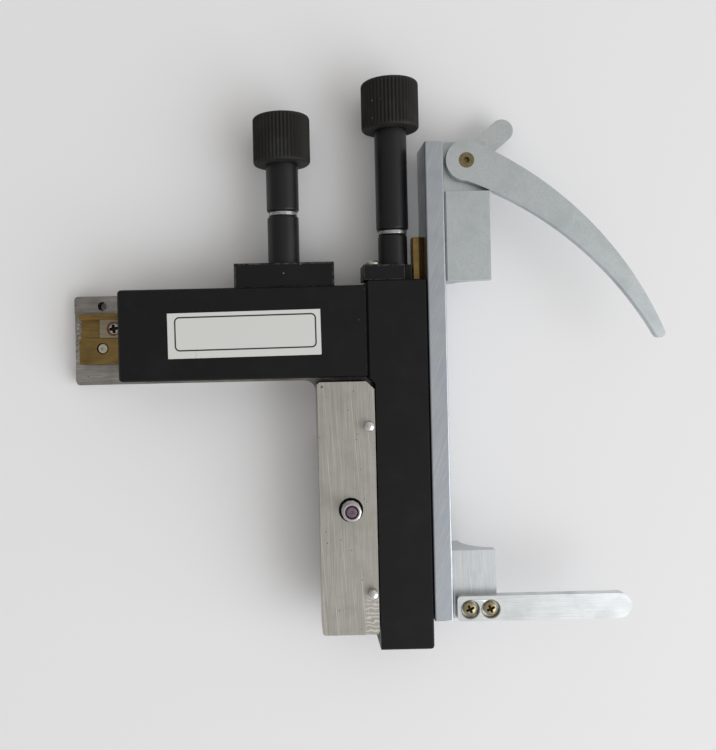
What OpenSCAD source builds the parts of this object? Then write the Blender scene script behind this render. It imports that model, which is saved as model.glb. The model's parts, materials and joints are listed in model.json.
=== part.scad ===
// Attachable mechanical stage for a microscope, in millimetres.
// It lies on its upper face, so the side that bolts to the microscope looks up.
// +X runs along the arm, +Y runs along the slide bar towards the knobs, +Z is up.
// The origin is the clamp screw's axis at the mounting face of the leg.
// The carriage rides along X on a brass dovetail, driven by a rack and pinion.
// The slide bar rides along Y in the bar housing, driven by a screw and nut.

/* [Leg and arm] */
// Width of the clamping leg
leg_w = 11.6; // [11.4:0.1:14]
// Thickness of the clamping leg
leg_t = 6.4; // [5.5:0.1:7]
// Clamp screw to the leg's free end
leg_below = 25.5; // [23:0.5:30]
// Clamp screw to the arm
leg_above = 26.1; // [25:0.1:30]
// Clamp screw to the leg's outer edge
leg_left = 6.3; // [6:0.1:7]
// Radius of the leg's corners
leg_corner = 0.7; // [0.3:0.1:1]
// Chamfer of the leg's corner beside the bar housing
leg_chamfer = 1.6; // [1:0.1:2]
// Length of the riser between the leg and the arm
riser_l = 12.5; // [8:0.5:13]
// Radius of the fillet between the riser and the arm
inner_fillet = 2.5; // [1:0.1:4]
// Width of the arm
arm_w = 19.2; // [17.5:0.1:21]
// Thickness of the arm
arm_t = 3; // [2.5:0.1:4]
// Length of arm that shows past the carriage housing
arm_overhang = 11.4; // [9:0.1:14]
// Radius of the arm's corners
arm_corner = 0.8; // [0.3:0.1:1.5]
// Width of the step along the arm's lower edge
arm_step_w = 0.8; // [0.4:0.1:1.2]
// Depth of the step along the arm's lower edge
arm_step_t = 0.4; // [0.2:0.1:0.8]
// Diameter of the free hole at the arm's end
arm_hole_d = 1.9; // [1.5:0.1:2.5]
// Free hole's centre to the arm's end
arm_hole_in = 6; // [4:0.1:8]
// Free hole's centre to the arm's upper edge
arm_hole_down = 2.2; // [1.6:0.1:2.4]
// Depth of the channel that seats the brass rail
rail_seat = 0.3; // [0.2:0.1:0.6]

/* [Clamp screw] */
// Thread diameter of the clamp screw
clamp_d = 4; // [3:0.5:4]
// Diameter of the hole in the leg
clamp_hole_d = 5; // [4.8:0.1:5.6]
// Height of the screw's tip above the mounting face
clamp_reach = 2.5; // [2:0.1:3.5]
// Chamfer of the screw's tip
clamp_tip_chamfer = 0.7; // [0.4:0.1:0.9]
// Diameter of the screw's neck
neck_d = 3; // [2.4:0.1:3.2]
// Diameter of the knurled head
head_d = 9.4; // [9:0.1:10.6]
// Thickness of the knurled head
head_t = 4.5; // [4:0.1:5]
// Depth of the neck inside the head
head_seat = 3.5; // [2:0.1:3.8]
// Thickness of the captive ring
ring_t = 2; // [1.5:0.1:2.5]
// Captive ring to the leg's far face
ring_in = 0.4; // [0.2:0.1:0.6]
// Diameter of the washer on the head
washer_d = 7.2; // [6:0.1:9]
// Thickness of the washer on the head
washer_t = 0.5; // [0.4:0.1:0.8]

/* [Locating pins] */
// Diameter of a locating pin
pin_d = 2; // [1.5:0.1:2.2]
// Height of a locating pin above the mounting face
pin_h = 2; // [1.5:0.1:2.5]
// Height of a pin's domed end
pin_dome_h = 0.5; // [0.3:0.1:0.6]
// Depth of a pin in the leg
pin_depth = 3; // [2:0.1:4]
// Diameter of a pin's shank in the leg
pin_shank_d = 1.5; // [1.2:0.1:1.6]
// Depth of the clearance ring round a pin
pin_mouth = 0.1; // [0.05:0.05:0.4]
// Clamp screw to each pin, along the leg
pin_pitch = 17; // [12:0.5:19]
// Pin centre to the leg's inner edge
pin_edge = 1.3; // [1.2:0.1:2]

/* [Rail and rack] */
// Width of the brass rail at its near face
rail_w = 10.8; // [10:0.1:12]
// Height of the brass rail above the arm
rail_h = 2.7; // [2.5:0.1:3]
// Undercut of each flank of the rail
rail_undercut = 1; // [0.6:0.1:1.4]
// Rail to the arm's lower edge
rail_up = 4.5; // [3.5:0.1:5]
// Rail's end to the arm's end
rail_in = 1.6; // [1:0.1:3]
// Width of the rack and its groove
rack_w = 4.1; // [3.5:0.1:4.5]
// Rack's groove to the rail's upper edge
rack_down = 1.2; // [1:0.1:1.6]
// Rack's end to the rail's end
rack_in = 4.3; // [3:0.1:6]
// Plain length of the rack before its teeth
rack_plain = 8.3; // [7:0.1:10]
// Thickness of the rack below its teeth
rack_back = 0.7; // [0.6:0.1:0.8]
// Tooth module of the rack and pinion
gear_m = 0.5; // [0.45:0.01:0.52]
// Number of pinion teeth
pinion_teeth = 10; // [10:1:11]
// Width of the pinion
pinion_w = 3.4; // [3:0.1:3.6]
// Backlash between the teeth
backlash = 0.12; // [0.08:0.01:0.2]

/* [Carriage housing] */
// Length of the carriage housing
carriage_l = 51; // [46:0.5:60]
// Width of the carriage housing
carriage_w = 18.8; // [17.8:0.1:20]
// Height of the carriage housing
carriage_h = 9.3; // [9:0.1:10]
// Corner radius of both housings
housing_corner = 0.9; // [0.4:0.1:1.2]
// Width of the blank label
label_l = 31.3; // [25:0.1:33]
// Height of the blank label
label_w = 9.3; // [7:0.1:12]
// Thickness of the blank label
label_t = 0.1; // [0.08:0.01:0.2]
// Carriage housing's free end to the label
label_in = 10.2; // [6:0.1:12]
// Label's turn on the housing
label_turn = 0.5; // [0:0.1:1]
// Length of the pinion block
block_l = 20.6; // [18:0.1:23]
// Thickness of the pinion block
block_t = 5; // [4.5:0.1:7]
// Pinion block's near face below the housing's
block_drop = 0.6; // [0.2:0.1:1]
// Height of the pinion block
block_h = 8.2; // [7.5:0.1:8.6]
// Spacing of the pinion block's screws
block_screw_pitch = 15.2; // [12:0.1:16]

/* [Bar housing] */
// Length of the bar housing
guide_l = 75.7; // [72:0.1:82]
// Width of the bar housing
guide_w = 10.9; // [10.5:0.1:12]
// Height of the bar housing
guide_h = 9; // [8.8:0.1:9.6]
// Bar housing's overhang past the carriage housing
guide_over = 1; // [0.8:0.1:2]
// Step from the housing's lower part to its joint with the carriage housing
guide_step = 1.4; // [1:0.1:1.6]
// Thickness of the bar housing's lower end wall
guide_end = 3; // [2.5:0.1:4]
// Thickness of the bar housing's bearing wall
guide_bearing = 3; // [2:0.1:4]
// Thickness of the bearing plate
plate_t = 3.2; // [2.5:0.1:4]
// Bearing plate's overhang past the bar housing
plate_over = 0.4; // [0:0.1:0.6]
// Diameter of the bearing plate's screw head
plate_screw_d = 2.8; // [2.4:0.1:3]

/* [Knobs] */
// Diameter of the knobs
knob_d = 12; // [11:0.1:12.6]
// Length of the knobs
knob_l = 10; // [8:0.1:12]
// Number of knurls round a knob
knob_knurls = 48; // [36:1:48]
// Depth of the knurls
knurl_depth = 0.25; // [0.2:0.05:0.4]
// Length of the smooth rim at each end of the knurls
knob_rim = 0.4; // [0.3:0.1:0.8]
// Width of the ledge between the knurls' roots and a knob's rim
rim_ledge = 0.05; // [0.02:0.01:0.1]
// Depth of the knob axes below the mounting face
knob_axis = 5.5; // [5.3:0.1:5.6]
// Distance between the two knob axes
knob_spacing = 22.95; // [20:0.05:28]
// Diameter of the pinion shaft
pinion_shaft_d = 2.5; // [2:0.1:2.6]
// Diameter of both shafts' inner journals
journal_d = 2; // [1.5:0.1:2.2]
// Diameter of the fixed sleeve on the carriage side
carriage_sleeve_d = 6.6; // [6:0.1:7]
// Length of the fixed sleeve on the carriage side
carriage_sleeve_l = 10; // [8:0.1:13]
// Diameter of the turning sleeve on the carriage side
carriage_skirt_d = 6.8; // [6:0.1:7]
// Length of the turning sleeve on the carriage side
carriage_skirt_l = 10; // [8:0.1:13]
// Diameter of the lead screw
lead_d = 2.8; // [2.4:0.1:2.9]
// Diameter of the fixed sleeve on the bar side
bar_sleeve_d = 6.1; // [5.6:0.1:6.6]
// Length of the fixed sleeve on the bar side
bar_sleeve_l = 6.4; // [5:0.1:9]
// Diameter of the turning sleeve on the bar side
bar_skirt_d = 6.7; // [6:0.1:7]
// Length of the turning sleeve on the bar side
bar_skirt_l = 21.1; // [18:0.1:26]
// Diameter of the bright collars under the turning sleeves
collar_d = 6; // [5.6:0.1:6]
// Length of the bright collars
collar_l = 0.8; // [0.5:0.1:1.2]

/* [Slide bar] */
// Length of the slide bar
bar_l = 98; // [92:0.1:108]
// Thickness of the slide bar
bar_t = 3.8; // [3.4:0.1:4.5]
// Height of the slide bar
bar_h = 9.5; // [9.3:0.1:9.5]
// Slide bar's end to the bar housing's end, at rest
bar_up = 5.7; // [3:0.1:8]
// Travel of the slide bar away from the knobs
bar_travel_down = 22; // [15:1:22]
// Travel of the slide bar towards the knobs
bar_travel_up = 22; // [15:1:22]
// Length of the brass guide strip
strip_l = 58.7; // [54:0.1:59]
// Length of guide strip that shows above the bar housing
strip_over = 8.9; // [6:0.1:11]
// Thickness of the guide strip
strip_t = 2.4; // [2.2:0.1:2.6]
// Thickness of the strip's wide head
strip_head_t = 1.2; // [1:0.1:1.4]
// Height of the strip's wide head
strip_head_h = 3.6; // [3.2:0.1:3.6]
// Height of the strip's neck at the bar
strip_neck_h = 1.8; // [1.4:0.1:2.2]
// Strip's centre above the lead screw
strip_rise = 0.6; // [0.5:0.1:0.8]
// Length of the drive nut
nut_l = 8; // [6:0.5:8]
// Height of the drive nut
nut_h = 5.8; // [5.2:0.1:5.9]
// Lead screw's centre to the nut's free side
nut_reach = 2.7; // [2.2:0.1:2.7]
// Width of the engraved scale strip
scale_w = 3; // [2.5:0.1:3.2]
// Length of the engraved scale strip
scale_l = 76; // [60:1:80]
// Thickness of the scale and vernier strips
scale_t = 0.2; // [0.15:0.05:0.3]
// Length of the vernier strip
vernier_l = 12; // [9:0.5:20]

/* [Arms] */
// Width of the two arms, measured from the bar
arms_w = 9.3; // [8.8:0.1:10]
// Length of the pivot arm
pivot_arm_l = 28.8; // [26:0.1:32]
// Slide bar's end to the pivot arm's end
pivot_arm_in = -0.2; // [-0.3:0.1:1]
// Gap between the curved finger and its stop on the pivot arm
stop_gap = 0.15; // [0.1:0.05:0.3]
// Length of the fixed arm
fixed_arm_l = 14.1; // [13:0.1:17]
// Thickness of each arm at its free side
arms_edge_t = 1.8; // [1.5:0.1:2.4]
// Radius of the hollow under each arm
arms_hollow_r = 6.2; // [5.6:0.1:6.4]
// Thickness of the pivot arm's boss
boss_t = 5.7; // [5:0.1:6]
// Chamfer of the arms' edges at the bar
arms_chamfer = 0.4; // [0.2:0.05:0.4]
// Depth of the pivot arm
pivot_arm_h = 8.8; // [8:0.1:9]
// Pivot arm's near face below the slide bar's
pivot_arm_drop = 0.1; // [0.05:0.05:0.3]
// Depth of the fixed arm
fixed_arm_h = 7.6; // [7:0.1:8]
// Pivot arm's free end to its first screw
arm_screw_in = 11.3; // [9:0.1:12]
// Pivot arm's seat to its second screw
arm_screw_past = 2; // [1.8:0.1:3]
// Fixed arm's ends to its screws
arm_screw_edge = 4; // [3:0.1:5]

/* [Fingers] */
// Length of the fixed finger
finger_l = 35.6; // [33:0.1:40]
// Width of the fixed finger
finger_w = 5.1; // [4.8:0.1:5.4]
// Thickness of the fixed finger
finger_t = 1.8; // [1.5:0.1:2]
// Fixed finger's end to the slide bar
finger_in = 0.8; // [0.4:0.1:1.2]
// Diameter of the counterbores in the fixed finger
finger_bore_d = 4; // [3.6:0.1:4.1]
// Width of the bright bevel round those bores
finger_bore_edge = 0.25; // [0.15:0.05:0.3]
// Spacing of the fixed finger's screws
finger_screw_pitch = 4.2; // [4.15:0.05:4.6]
// First screw to the fixed finger's end
finger_screw_in = 2.6; // [2.5:0.1:3]
// Diameter of the fixed finger's screw heads
finger_screw_d = 2.6; // [2.4:0.1:3.2]
// Thickness of the curved finger
blade_t = 1.7; // [1.4:0.1:1.7]
// Radius of the curved finger's hub
hub_r = 4.2; // [4:0.1:4.6]
// Pivot to the slide bar
pivot_out = 4.7; // [4.6:0.1:5]
// Pivot to the slide bar's end
pivot_down = 4; // [3.9:0.1:5]
// Radius of the curved finger's outer edge
outer_r = 74.6; // [72:0.1:84]
// Radius of the curved finger's inner edge
inner_r = 73; // [72:0.1:84]
// Pivot to the curved finger's outer edge
neck_out = 4; // [3.8:0.05:4.4]
// Pivot to the curved finger's inner edge
neck_in = 4; // [3.6:0.05:4.4]
// Pivot to the middle of the finger's tip, along the fixed finger
tip_right = 38.8; // [36:0.1:41]
// Pivot to the middle of the finger's tip, along the slide bar
tip_below = 36.1; // [33:0.1:38]
// Radius of the finger's tip
tip_r = 1; // [1:0.1:1.6]
// Length of the thumb lever from the pivot to its end's centre
lever_l = 12.4; // [10:0.1:14]
// Width of the thumb lever
lever_w = 4.8; // [4:0.1:5]
// Thickness of the thumb lever
lever_t = 2; // [1.5:0.1:2]
// Angle of the thumb lever at rest
lever_angle = 40; // [35:1:50]
// Diameter of the pivot pin
pivot_d = 3.2; // [2.6:0.1:3.4]
// Diameter of the pivot nut
pivot_nut_d = 4.2; // [3.8:0.1:4.4]
// Thickness of the pivot nut
pivot_nut_t = 1; // [0.8:0.1:1.2]
// Wire diameter of the finger's spring
spring_wire_d = 0.5; // [0.4:0.05:0.5]
// Mean diameter of the finger's spring
spring_d = 4.2; // [4.1:0.1:4.3]
// Turns of the finger's spring
spring_turns = 3; // [2:1:3]

/* [Clearances] */
// Housings' near faces below the mounting face
face_drop = 0.4; // [0.3:0.05:0.6]
// Gap between parts that pass each other
pass_gap = 0.3; // [0.25:0.05:0.4]
// Gap between the carriage housing and the leg
leg_gap = 0.9; // [0.4:0.1:1]
// Gap between the bar housing and the slide bar
bar_gap = 0.2; // [0.15:0.05:0.3]
// Gap all round a dovetail
slide_gap = 0.15; // [0.1:0.01:0.2]
// Radial clearance of a turning shaft
run_gap = 0.05; // [0.03:0.01:0.08]
// End clearance of a turning part
thrust_gap = 0.1; // [0.1:0.05:0.2]
// Radial clearance round a fixed screw
screw_gap = 0.02; // [0.01:0.01:0.05]

/* [Hidden] */

// Facets of round parts
round_fn = 96;
// How far a cutting solid reaches past a face
past = 1;

// Leg and arm
leg_x0 = -leg_left;
leg_x1 = leg_x0 + leg_w;
leg_y0 = -leg_below;
leg_y1 = leg_above;
arm_y1 = leg_y1 + arm_w;

// Housings, from the leg's inner edge to the right
guide_x0 = leg_x1 + pass_gap;
guide_x1 = guide_x0 + guide_w;
guide_joint_x = guide_x0 - guide_step;
bar_x0 = guide_x1 + bar_gap;
bar_x1 = bar_x0 + bar_t;
arm_x1 = bar_x0 - pass_gap - bar_gap;
carriage_x1 = guide_joint_x;
carriage_x0 = carriage_x1 - carriage_l;
arm_x0 = carriage_x0 - arm_overhang;
carriage_y0 = leg_y1 + leg_gap;
carriage_y1 = carriage_y0 + carriage_w;
guide_y1 = carriage_y1 + guide_over;
guide_y0 = guide_y1 - guide_l;

// Heights
housing_z = -face_drop;
carriage_z0 = housing_z - carriage_h;
guide_z0 = housing_z - guide_h;
arm_z1 = carriage_z0 - pass_gap;
arm_z0 = arm_z1 - arm_t;
rail_z1 = arm_z1 + rail_h;
rail_z0 = arm_z1 - rail_seat;
axis_z = -knob_axis;

// Knob axes
lead_x = bar_x0 - pass_gap - knob_d / 2;
pinion_x = lead_x - knob_spacing;

// Rail and rack
rail_x0 = arm_x0 + rail_in;
rail_y0 = leg_y1 + rail_up;
rail_y1 = rail_y0 + rail_w;
rail_slope = rail_undercut / rail_h;
rack_x0 = rail_x0 + rack_in;
rack_y1 = rail_y1 - rack_down;
rack_y0 = rack_y1 - rack_w;
pitch_r = gear_m * pinion_teeth / 2;
pitch_z = axis_z - pitch_r;
pressure_angle = 20;
pinion_addendum = 0.8 * gear_m;
rack_addendum = 0.5 * gear_m;
dedendum = 1.15 * gear_m;
rack_z0 = pitch_z - dedendum - rack_back;
rack_screw_x = rack_x0 + 3;
rail_screw_x = rail_x0 + 5;
rail_screw_y = (rail_y0 + rack_y0) / 2 + 0.6;
pinion_y1 = rack_y1 - (rack_w - pinion_w) / 2;
pinion_y0 = pinion_y1 - pinion_w;
pinion_room = pitch_r + pinion_addendum + pass_gap;

// Knob stacks along Y
block_y1 = carriage_y1 + block_t;
carriage_sleeve_y1 = block_y1 + carriage_sleeve_l;
carriage_skirt_y0 = carriage_sleeve_y1 + thrust_gap + collar_l;
carriage_skirt_y1 = carriage_skirt_y0 + carriage_skirt_l;
plate_y1 = guide_y1 + plate_t;
bar_sleeve_y1 = plate_y1 + bar_sleeve_l;
bar_skirt_y0 = bar_sleeve_y1 + thrust_gap + collar_l;
bar_skirt_y1 = bar_skirt_y0 + bar_skirt_l;
knob_cap = 1.5;

// Slide bar
bar_z0 = housing_z - bar_h;
bar_y0 = guide_y0 + bar_up;
bar_y1 = bar_y0 + bar_l;
strip_x0 = bar_x0 - strip_t;
strip_y1 = guide_y1 + strip_over;
strip_y0 = strip_y1 - strip_l;
strip_z = axis_z + strip_rise;
nut_y0 = strip_y0;
nut_y1 = nut_y0 + nut_l;
nut_room_y0 = nut_y0 - bar_travel_down - pass_gap;
nut_room_y1 = nut_y1 + bar_travel_up + pass_gap;
tunnel_r = lead_d / 2 + 0.8;

// Arms and fingers
arms_x1 = bar_x1 + arms_w;
pivot_arm_y1 = bar_y1 - pivot_arm_in;
pivot_arm_y0 = pivot_arm_y1 - pivot_arm_l;
fixed_arm_y0 = bar_y0 - 0.1;
fixed_arm_y1 = fixed_arm_y0 + fixed_arm_l;
finger_x0 = bar_x1 + finger_in;
finger_y1 = fixed_arm_y0 + finger_w;
finger_z1 = -pass_gap;
finger_z0 = finger_z1 - finger_t;
finger_bore_r = finger_bore_d / 2 - finger_bore_edge;
finger_mouth_r = finger_bore_d / 2 + finger_bore_edge;
pivot_x = bar_x1 + pivot_out;
pivot_y = bar_y1 - pivot_down;
blade_z1 = housing_z;
blade_z0 = blade_z1 - blade_t;
seat_y = pivot_y + inner_edge_y(arms_x1 - pivot_x) - stop_gap;
boss_z1 = blade_z0 - bar_gap;
boss_z0 = boss_z1 - boss_t;
lever_z1 = boss_z0 - pass_gap;
lever_z0 = lever_z1 - lever_t;

// Clamp screw, with its head on the table
head_z0 = arm_z0;
head_z1 = head_z0 + head_t;
ring_z0 = -leg_t + ring_in;
ring_z1 = ring_z0 + ring_t;
pin_x = leg_x1 - pin_edge;

// ---- Helpers ----

// A rod along X, from one place to another
module rod_x(x0, x1, y, z, r, fn = 48)
    translate([x0, y, z])
        rotate([0, 90, 0])
            cylinder(h = x1 - x0, r = r, $fn = fn);

// A rod along Y, from one place to another
module rod_y(x, y0, y1, z, r, fn = 48)
    translate([x, y1, z])
        rotate([90, 0, 0])
            cylinder(h = y1 - y0, r = r, $fn = fn);

// A rod along Z, from one place to another
module rod_z(x, y, z0, z1, r, fn = 48)
    translate([x, y, z0])
        cylinder(h = z1 - z0, r = r, $fn = fn);

// A block between two corners
module block(low, high)
    translate(low)
        cube(high - low);

// An outline in Y and Z, drawn out along X
module along_x(x0, x1)
    translate([x0, 0, 0])
        rotate([90, 0, 90])
            linear_extrude(x1 - x0)
                children();

// An outline in X and Z, drawn out along Y
module along_y(y0, y1)
    translate([0, y1, 0])
        rotate([90, 0, 0])
            linear_extrude(y1 - y0)
                children();

// A rectangle with rounded corners
module rounded_rect(low, high, r) {
    for (x = [low[0] + r, high[0] - r])
        for (y = [low[1] + r, high[1] - r])
            translate([x, y])
                circle(r = r, $fn = 48);
    translate([low[0] + r, low[1]])
        square([high[0] - low[0] - 2 * r, high[1] - low[1]]);
    translate([low[0], low[1] + r])
        square([high[0] - low[0], high[1] - low[1] - 2 * r]);
}

// A cutting prism that takes a 45 degree edge off along Y
module edge_cut_y(x, y0, y1, z, size)
    translate([x, 0, z])
        along_y(y0 - past, y1 + past)
            rotate(45)
                square(size * sqrt(2), center = true);

// A cutting prism that takes a 45 degree edge off along X
module edge_cut_x(x0, x1, y, z, size)
    translate([0, y, z])
        along_x(x0 - past, x1 + past)
            rotate(45)
                square(size * sqrt(2), center = true);

// A cross recess in a screw head that faces +Z
module cross_recess(x, y, z, size, depth) {
    for (turn = [0, 90])
        translate([x, y, z])
            rotate(45 + turn)
                translate([-size / 2, -size * 0.14, -depth])
                    cube([size, size * 0.28, depth + past]);
}

// A ring of V grooves, as an outline
module knurl_outline(r, count)
    polygon([
        for (i = [0 : count - 1])
            for (side = [0, 1])
                (r - side * knurl_depth) * [
                    cos((i + side / 2) * 360 / count),
                    sin((i + side / 2) * 360 / count)
                ]
    ]);

// A knurled knob from the origin up, with smooth bevelled rims
module knurled_knob(d, l, count, rim) {
    rim_r = d / 2 - knurl_depth - rim_ledge;
    translate([0, 0, rim])
        linear_extrude(l - 2 * rim)
            knurl_outline(d / 2, count);
    for (flip = [0, 1])
        translate([0, 0, flip * l])
            mirror([0, 0, flip])
                cylinder(h = rim, r1 = rim_r - rim / 2, r2 = rim_r, $fn = round_fn);
}

// ---- Base ----

module leg_outline() {
    difference() {
        rounded_rect([leg_x0, leg_y0], [leg_x1, leg_y1], leg_corner);
        translate([leg_x1, leg_y1])
            rotate(45)
                square(leg_chamfer * sqrt(2), center = true);
    }
}

module arm_outline() {
    rounded_rect([arm_x0, leg_y1], [arm_x1, arm_y1], arm_corner);
    translate([leg_x0, leg_y1 - riser_l])
        square([leg_w - leg_chamfer, riser_l + arm_corner]);
    difference() {
        translate([leg_x0 - inner_fillet, leg_y1 - inner_fillet])
            square([inner_fillet, inner_fillet]);
        translate([leg_x0 - inner_fillet, leg_y1 - inner_fillet])
            circle(r = inner_fillet, $fn = 64);
    }
}

module base_frame() {
    color([0.56, 0.55, 0.52])
    difference() {
        union() {
            translate([0, 0, -leg_t])
                linear_extrude(leg_t)
                    leg_outline();
            block([leg_x0, leg_y1 - riser_l, arm_z0],
                  [leg_x1 - leg_chamfer, leg_y1 - leg_corner, -leg_t / 2]);
            translate([0, 0, arm_z0])
                linear_extrude(arm_t)
                    arm_outline();
        }
        rod_z(0, 0, -leg_t - past, past, clamp_hole_d / 2);
        for (y = [-pin_pitch, pin_pitch]) {
            rod_z(pin_x, y, -pin_depth, past, pin_shank_d / 2);
            rod_z(pin_x, y, -pin_mouth, past, pin_d / 2 + run_gap);
        }
        rod_z(arm_x0 + arm_hole_in, arm_y1 - arm_hole_down, arm_z0 - past, arm_z1 + past, arm_hole_d / 2);
        block([arm_x0 - past, rail_y0 - slide_gap, rail_z0],
              [arm_x1 + past, rail_y1 + slide_gap, arm_z1 + past]);
        block([arm_x0 - past, leg_y1 - past, arm_z1 - arm_step_t],
              [leg_x0 - inner_fillet - arm_step_w, leg_y1 + arm_step_w, arm_z1 + past]);
        rod_z(leg_x0 + 0.9, leg_y1 - 0.9, -0.8, past, 0.3, 24);
        rail_screw_shanks(screw_gap);
        rack_screw_shank(screw_gap);
    }
}

module locating_pins() {
    color([0.72, 0.72, 0.7])
    for (y = [-pin_pitch, pin_pitch])
        translate([pin_x, y, 0]) {
            translate([0, 0, -pin_depth])
                cylinder(h = pin_depth, r = pin_shank_d / 2, $fn = 48);
            translate([0, 0, -pin_mouth])
                cylinder(h = pin_mouth + pin_h - pin_dome_h, r = pin_d / 2, $fn = 48);
            translate([0, 0, pin_h - pin_dome_h])
                intersection() {
                    cylinder(h = pin_dome_h, r = pin_d / 2, $fn = 48);
                    translate([0, 0, pin_dome_h - dome_r()])
                        sphere(r = dome_r(), $fn = 64);
                }
        }
}

// Radius of the sphere that domes a pin
function dome_r() = (pow(pin_d / 2, 2) + pow(pin_dome_h, 2)) / (2 * pin_dome_h);

module captive_ring() {
    color([0.12, 0.12, 0.12])
    difference() {
        rod_z(0, 0, ring_z0, ring_z1, clamp_hole_d / 2);
        rod_z(0, 0, ring_z0 - past, ring_z1 + past, neck_d / 2 + run_gap);
    }
}

// ---- Rail and rack ----

// The dovetail's outline in Y and Z, with a gap all round it
module dovetail_outline(gap, bottom) {
    top = rail_z1 + gap;
    low = rail_undercut + rail_slope * (arm_z1 - bottom);
    polygon([
        [rail_y0 + low - gap, bottom],
        [rail_y1 - low + gap, bottom],
        [rail_y1 + gap, top],
        [rail_y0 - gap, top]
    ]);
}

module rail_screw_shanks(gap) {
    for (x = rail_screw_xs())
        rod_z(x, rail_screw_y, arm_z0 + past, rail_z1 - 0.2 - gap, 0.6 + gap, 24);
}

function rail_screw_xs() = [rail_screw_x, (rail_screw_x + arm_x1) / 2, arm_x1 - 5];

module rack_screw_shank(gap)
    rod_z(rack_screw_x, (rack_y0 + rack_y1) / 2, arm_z0 + past, rack_z0 + 1, 0.8 + gap, 24);

module carriage_rail() {
    color([0.66, 0.55, 0.3])
    difference() {
        union() {
            along_x(rail_x0, arm_x1)
                dovetail_outline(0, arm_z1);
            block([rail_x0, rail_y0 + rail_undercut, rail_z0],
                  [arm_x1, rail_y1 - rail_undercut, arm_z1]);
        }
        block([rail_x0 - past, rack_y0, rack_z0],
              [arm_x1 + past, rack_y1, rail_z1 + past]);
        for (x = rail_screw_xs())
            rod_z(x, rail_screw_y, rail_z1 - 1.2, rail_z1 + past, 1.25, 32);
        rail_screw_shanks(screw_gap);
        rack_screw_shank(screw_gap);
    }
}

module rail_screws() {
    color([0.72, 0.72, 0.7])
    difference() {
        union() {
            rail_screw_shanks(0);
            for (x = rail_screw_xs())
                rod_z(x, rail_screw_y, rail_z1 - 1.2, rail_z1 - 0.2, 0.95, 32);
        }
        for (x = rail_screw_xs())
            rod_z(x, rail_screw_y, rail_z1 - 0.7, rail_z1 + past, 0.45, 6);
    }
}

// One straight-sided tooth of the rack, in X and Z, about its own middle
module rack_tooth() {
    pitch_half = PI * gear_m / 4 - backlash / 2;
    foot = pitch_half + dedendum * tan(pressure_angle);
    tip = pitch_half - rack_addendum * tan(pressure_angle);
    polygon([
        [-foot, -dedendum - 0.05], [foot, -dedendum - 0.05], [foot, -dedendum],
        [tip, rack_addendum], [-tip, rack_addendum], [-foot, -dedendum]
    ]);
}

module carriage_rack() {
    pitch = PI * gear_m;
    teeth_x0 = rack_x0 + rack_plain;
    first = ceil((teeth_x0 - pinion_x) / pitch);
    last = floor((arm_x1 - rail_in - pinion_x) / pitch) - 1;
    y0 = rack_y0 + screw_gap;
    y1 = rack_y1 - screw_gap;
    color([0.7, 0.69, 0.62])
    difference() {
        union() {
            block([rack_x0, y0, rack_z0], [teeth_x0, y1, pitch_z + rack_addendum]);
            block([rack_x0, y0, rack_z0], [arm_x1 - rail_in, y1, pitch_z - dedendum]);
            along_y(y0, y1)
                for (i = [first : last])
                    translate([pinion_x + (i + 0.5) * pitch, pitch_z])
                        rack_tooth();
        }
        rod_z(rack_screw_x, (y0 + y1) / 2, rack_z0 + 1, pitch_z + past, 1.35, 32);
        rack_screw_shank(screw_gap);
    }
}

module rack_screw() {
    y = (rack_y0 + rack_y1) / 2;
    color([0.74, 0.7, 0.64])
    difference() {
        union() {
            rack_screw_shank(0);
            rod_z(rack_screw_x, y, rack_z0 + 1, pitch_z + rack_addendum, 1.3, 32);
        }
        cross_recess(rack_screw_x, y, pitch_z + rack_addendum, 1.7, 0.4);
    }
}

// ---- Clamp screw ----

module clamp_washer() {
    color([0.7, 0.7, 0.68])
    difference() {
        rod_z(0, 0, head_z1, head_z1 + washer_t, washer_d / 2);
        rod_z(0, 0, head_z1 - past, head_z1 + washer_t + past, neck_d / 2 + run_gap);
    }
}

module clamp_stud() {
    tip = clamp_reach - clamp_tip_chamfer;
    color([0.72, 0.71, 0.73]) {
        rod_z(0, 0, head_z1 - head_seat, 0, neck_d / 2);
        rod_z(0, 0, 0, tip, clamp_d / 2);
        translate([0, 0, tip])
            cylinder(h = clamp_tip_chamfer, r1 = clamp_d / 2, r2 = clamp_d / 2 - clamp_tip_chamfer, $fn = 48);
    }
}

module clamp_knob() {
    color([0.1, 0.1, 0.1])
    difference() {
        translate([0, 0, head_z0])
            knurled_knob(head_d, head_t, 36, 0.4);
        rod_z(0, 0, head_z1 - head_seat, head_z1 + past, neck_d / 2);
    }
}

// ---- Carriage ----

// Screws that hold the bar housing to the carriage housing
module housing_screw_rods(gap) {
    for (y = [carriage_y0 + 1.7, carriage_y1 - 1.7]) {
        rod_x(carriage_x1 - 5, guide_cavity_x() - 1.2, y, axis_z, 0.75 + gap, 24);
        rod_x(guide_cavity_x() - 1.2, guide_cavity_x() - 0.1, y, axis_z, 1.4 + gap, 32);
    }
}

// Left wall of the hollow that holds the lead screw
function guide_cavity_x() = lead_x - nut_reach - pass_gap;

module block_screw_rods(gap) {
    for (side = [-1, 1]) {
        x = pinion_x + side * block_screw_pitch / 2;
        rod_y(x, carriage_y1 - 3, block_y1 - 1.4, axis_z, 0.9 + gap, 24);
        rod_y(x, block_y1 - 1.4, block_y1 - 0.1, axis_z, 1.7 + gap, 32);
    }
}

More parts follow.
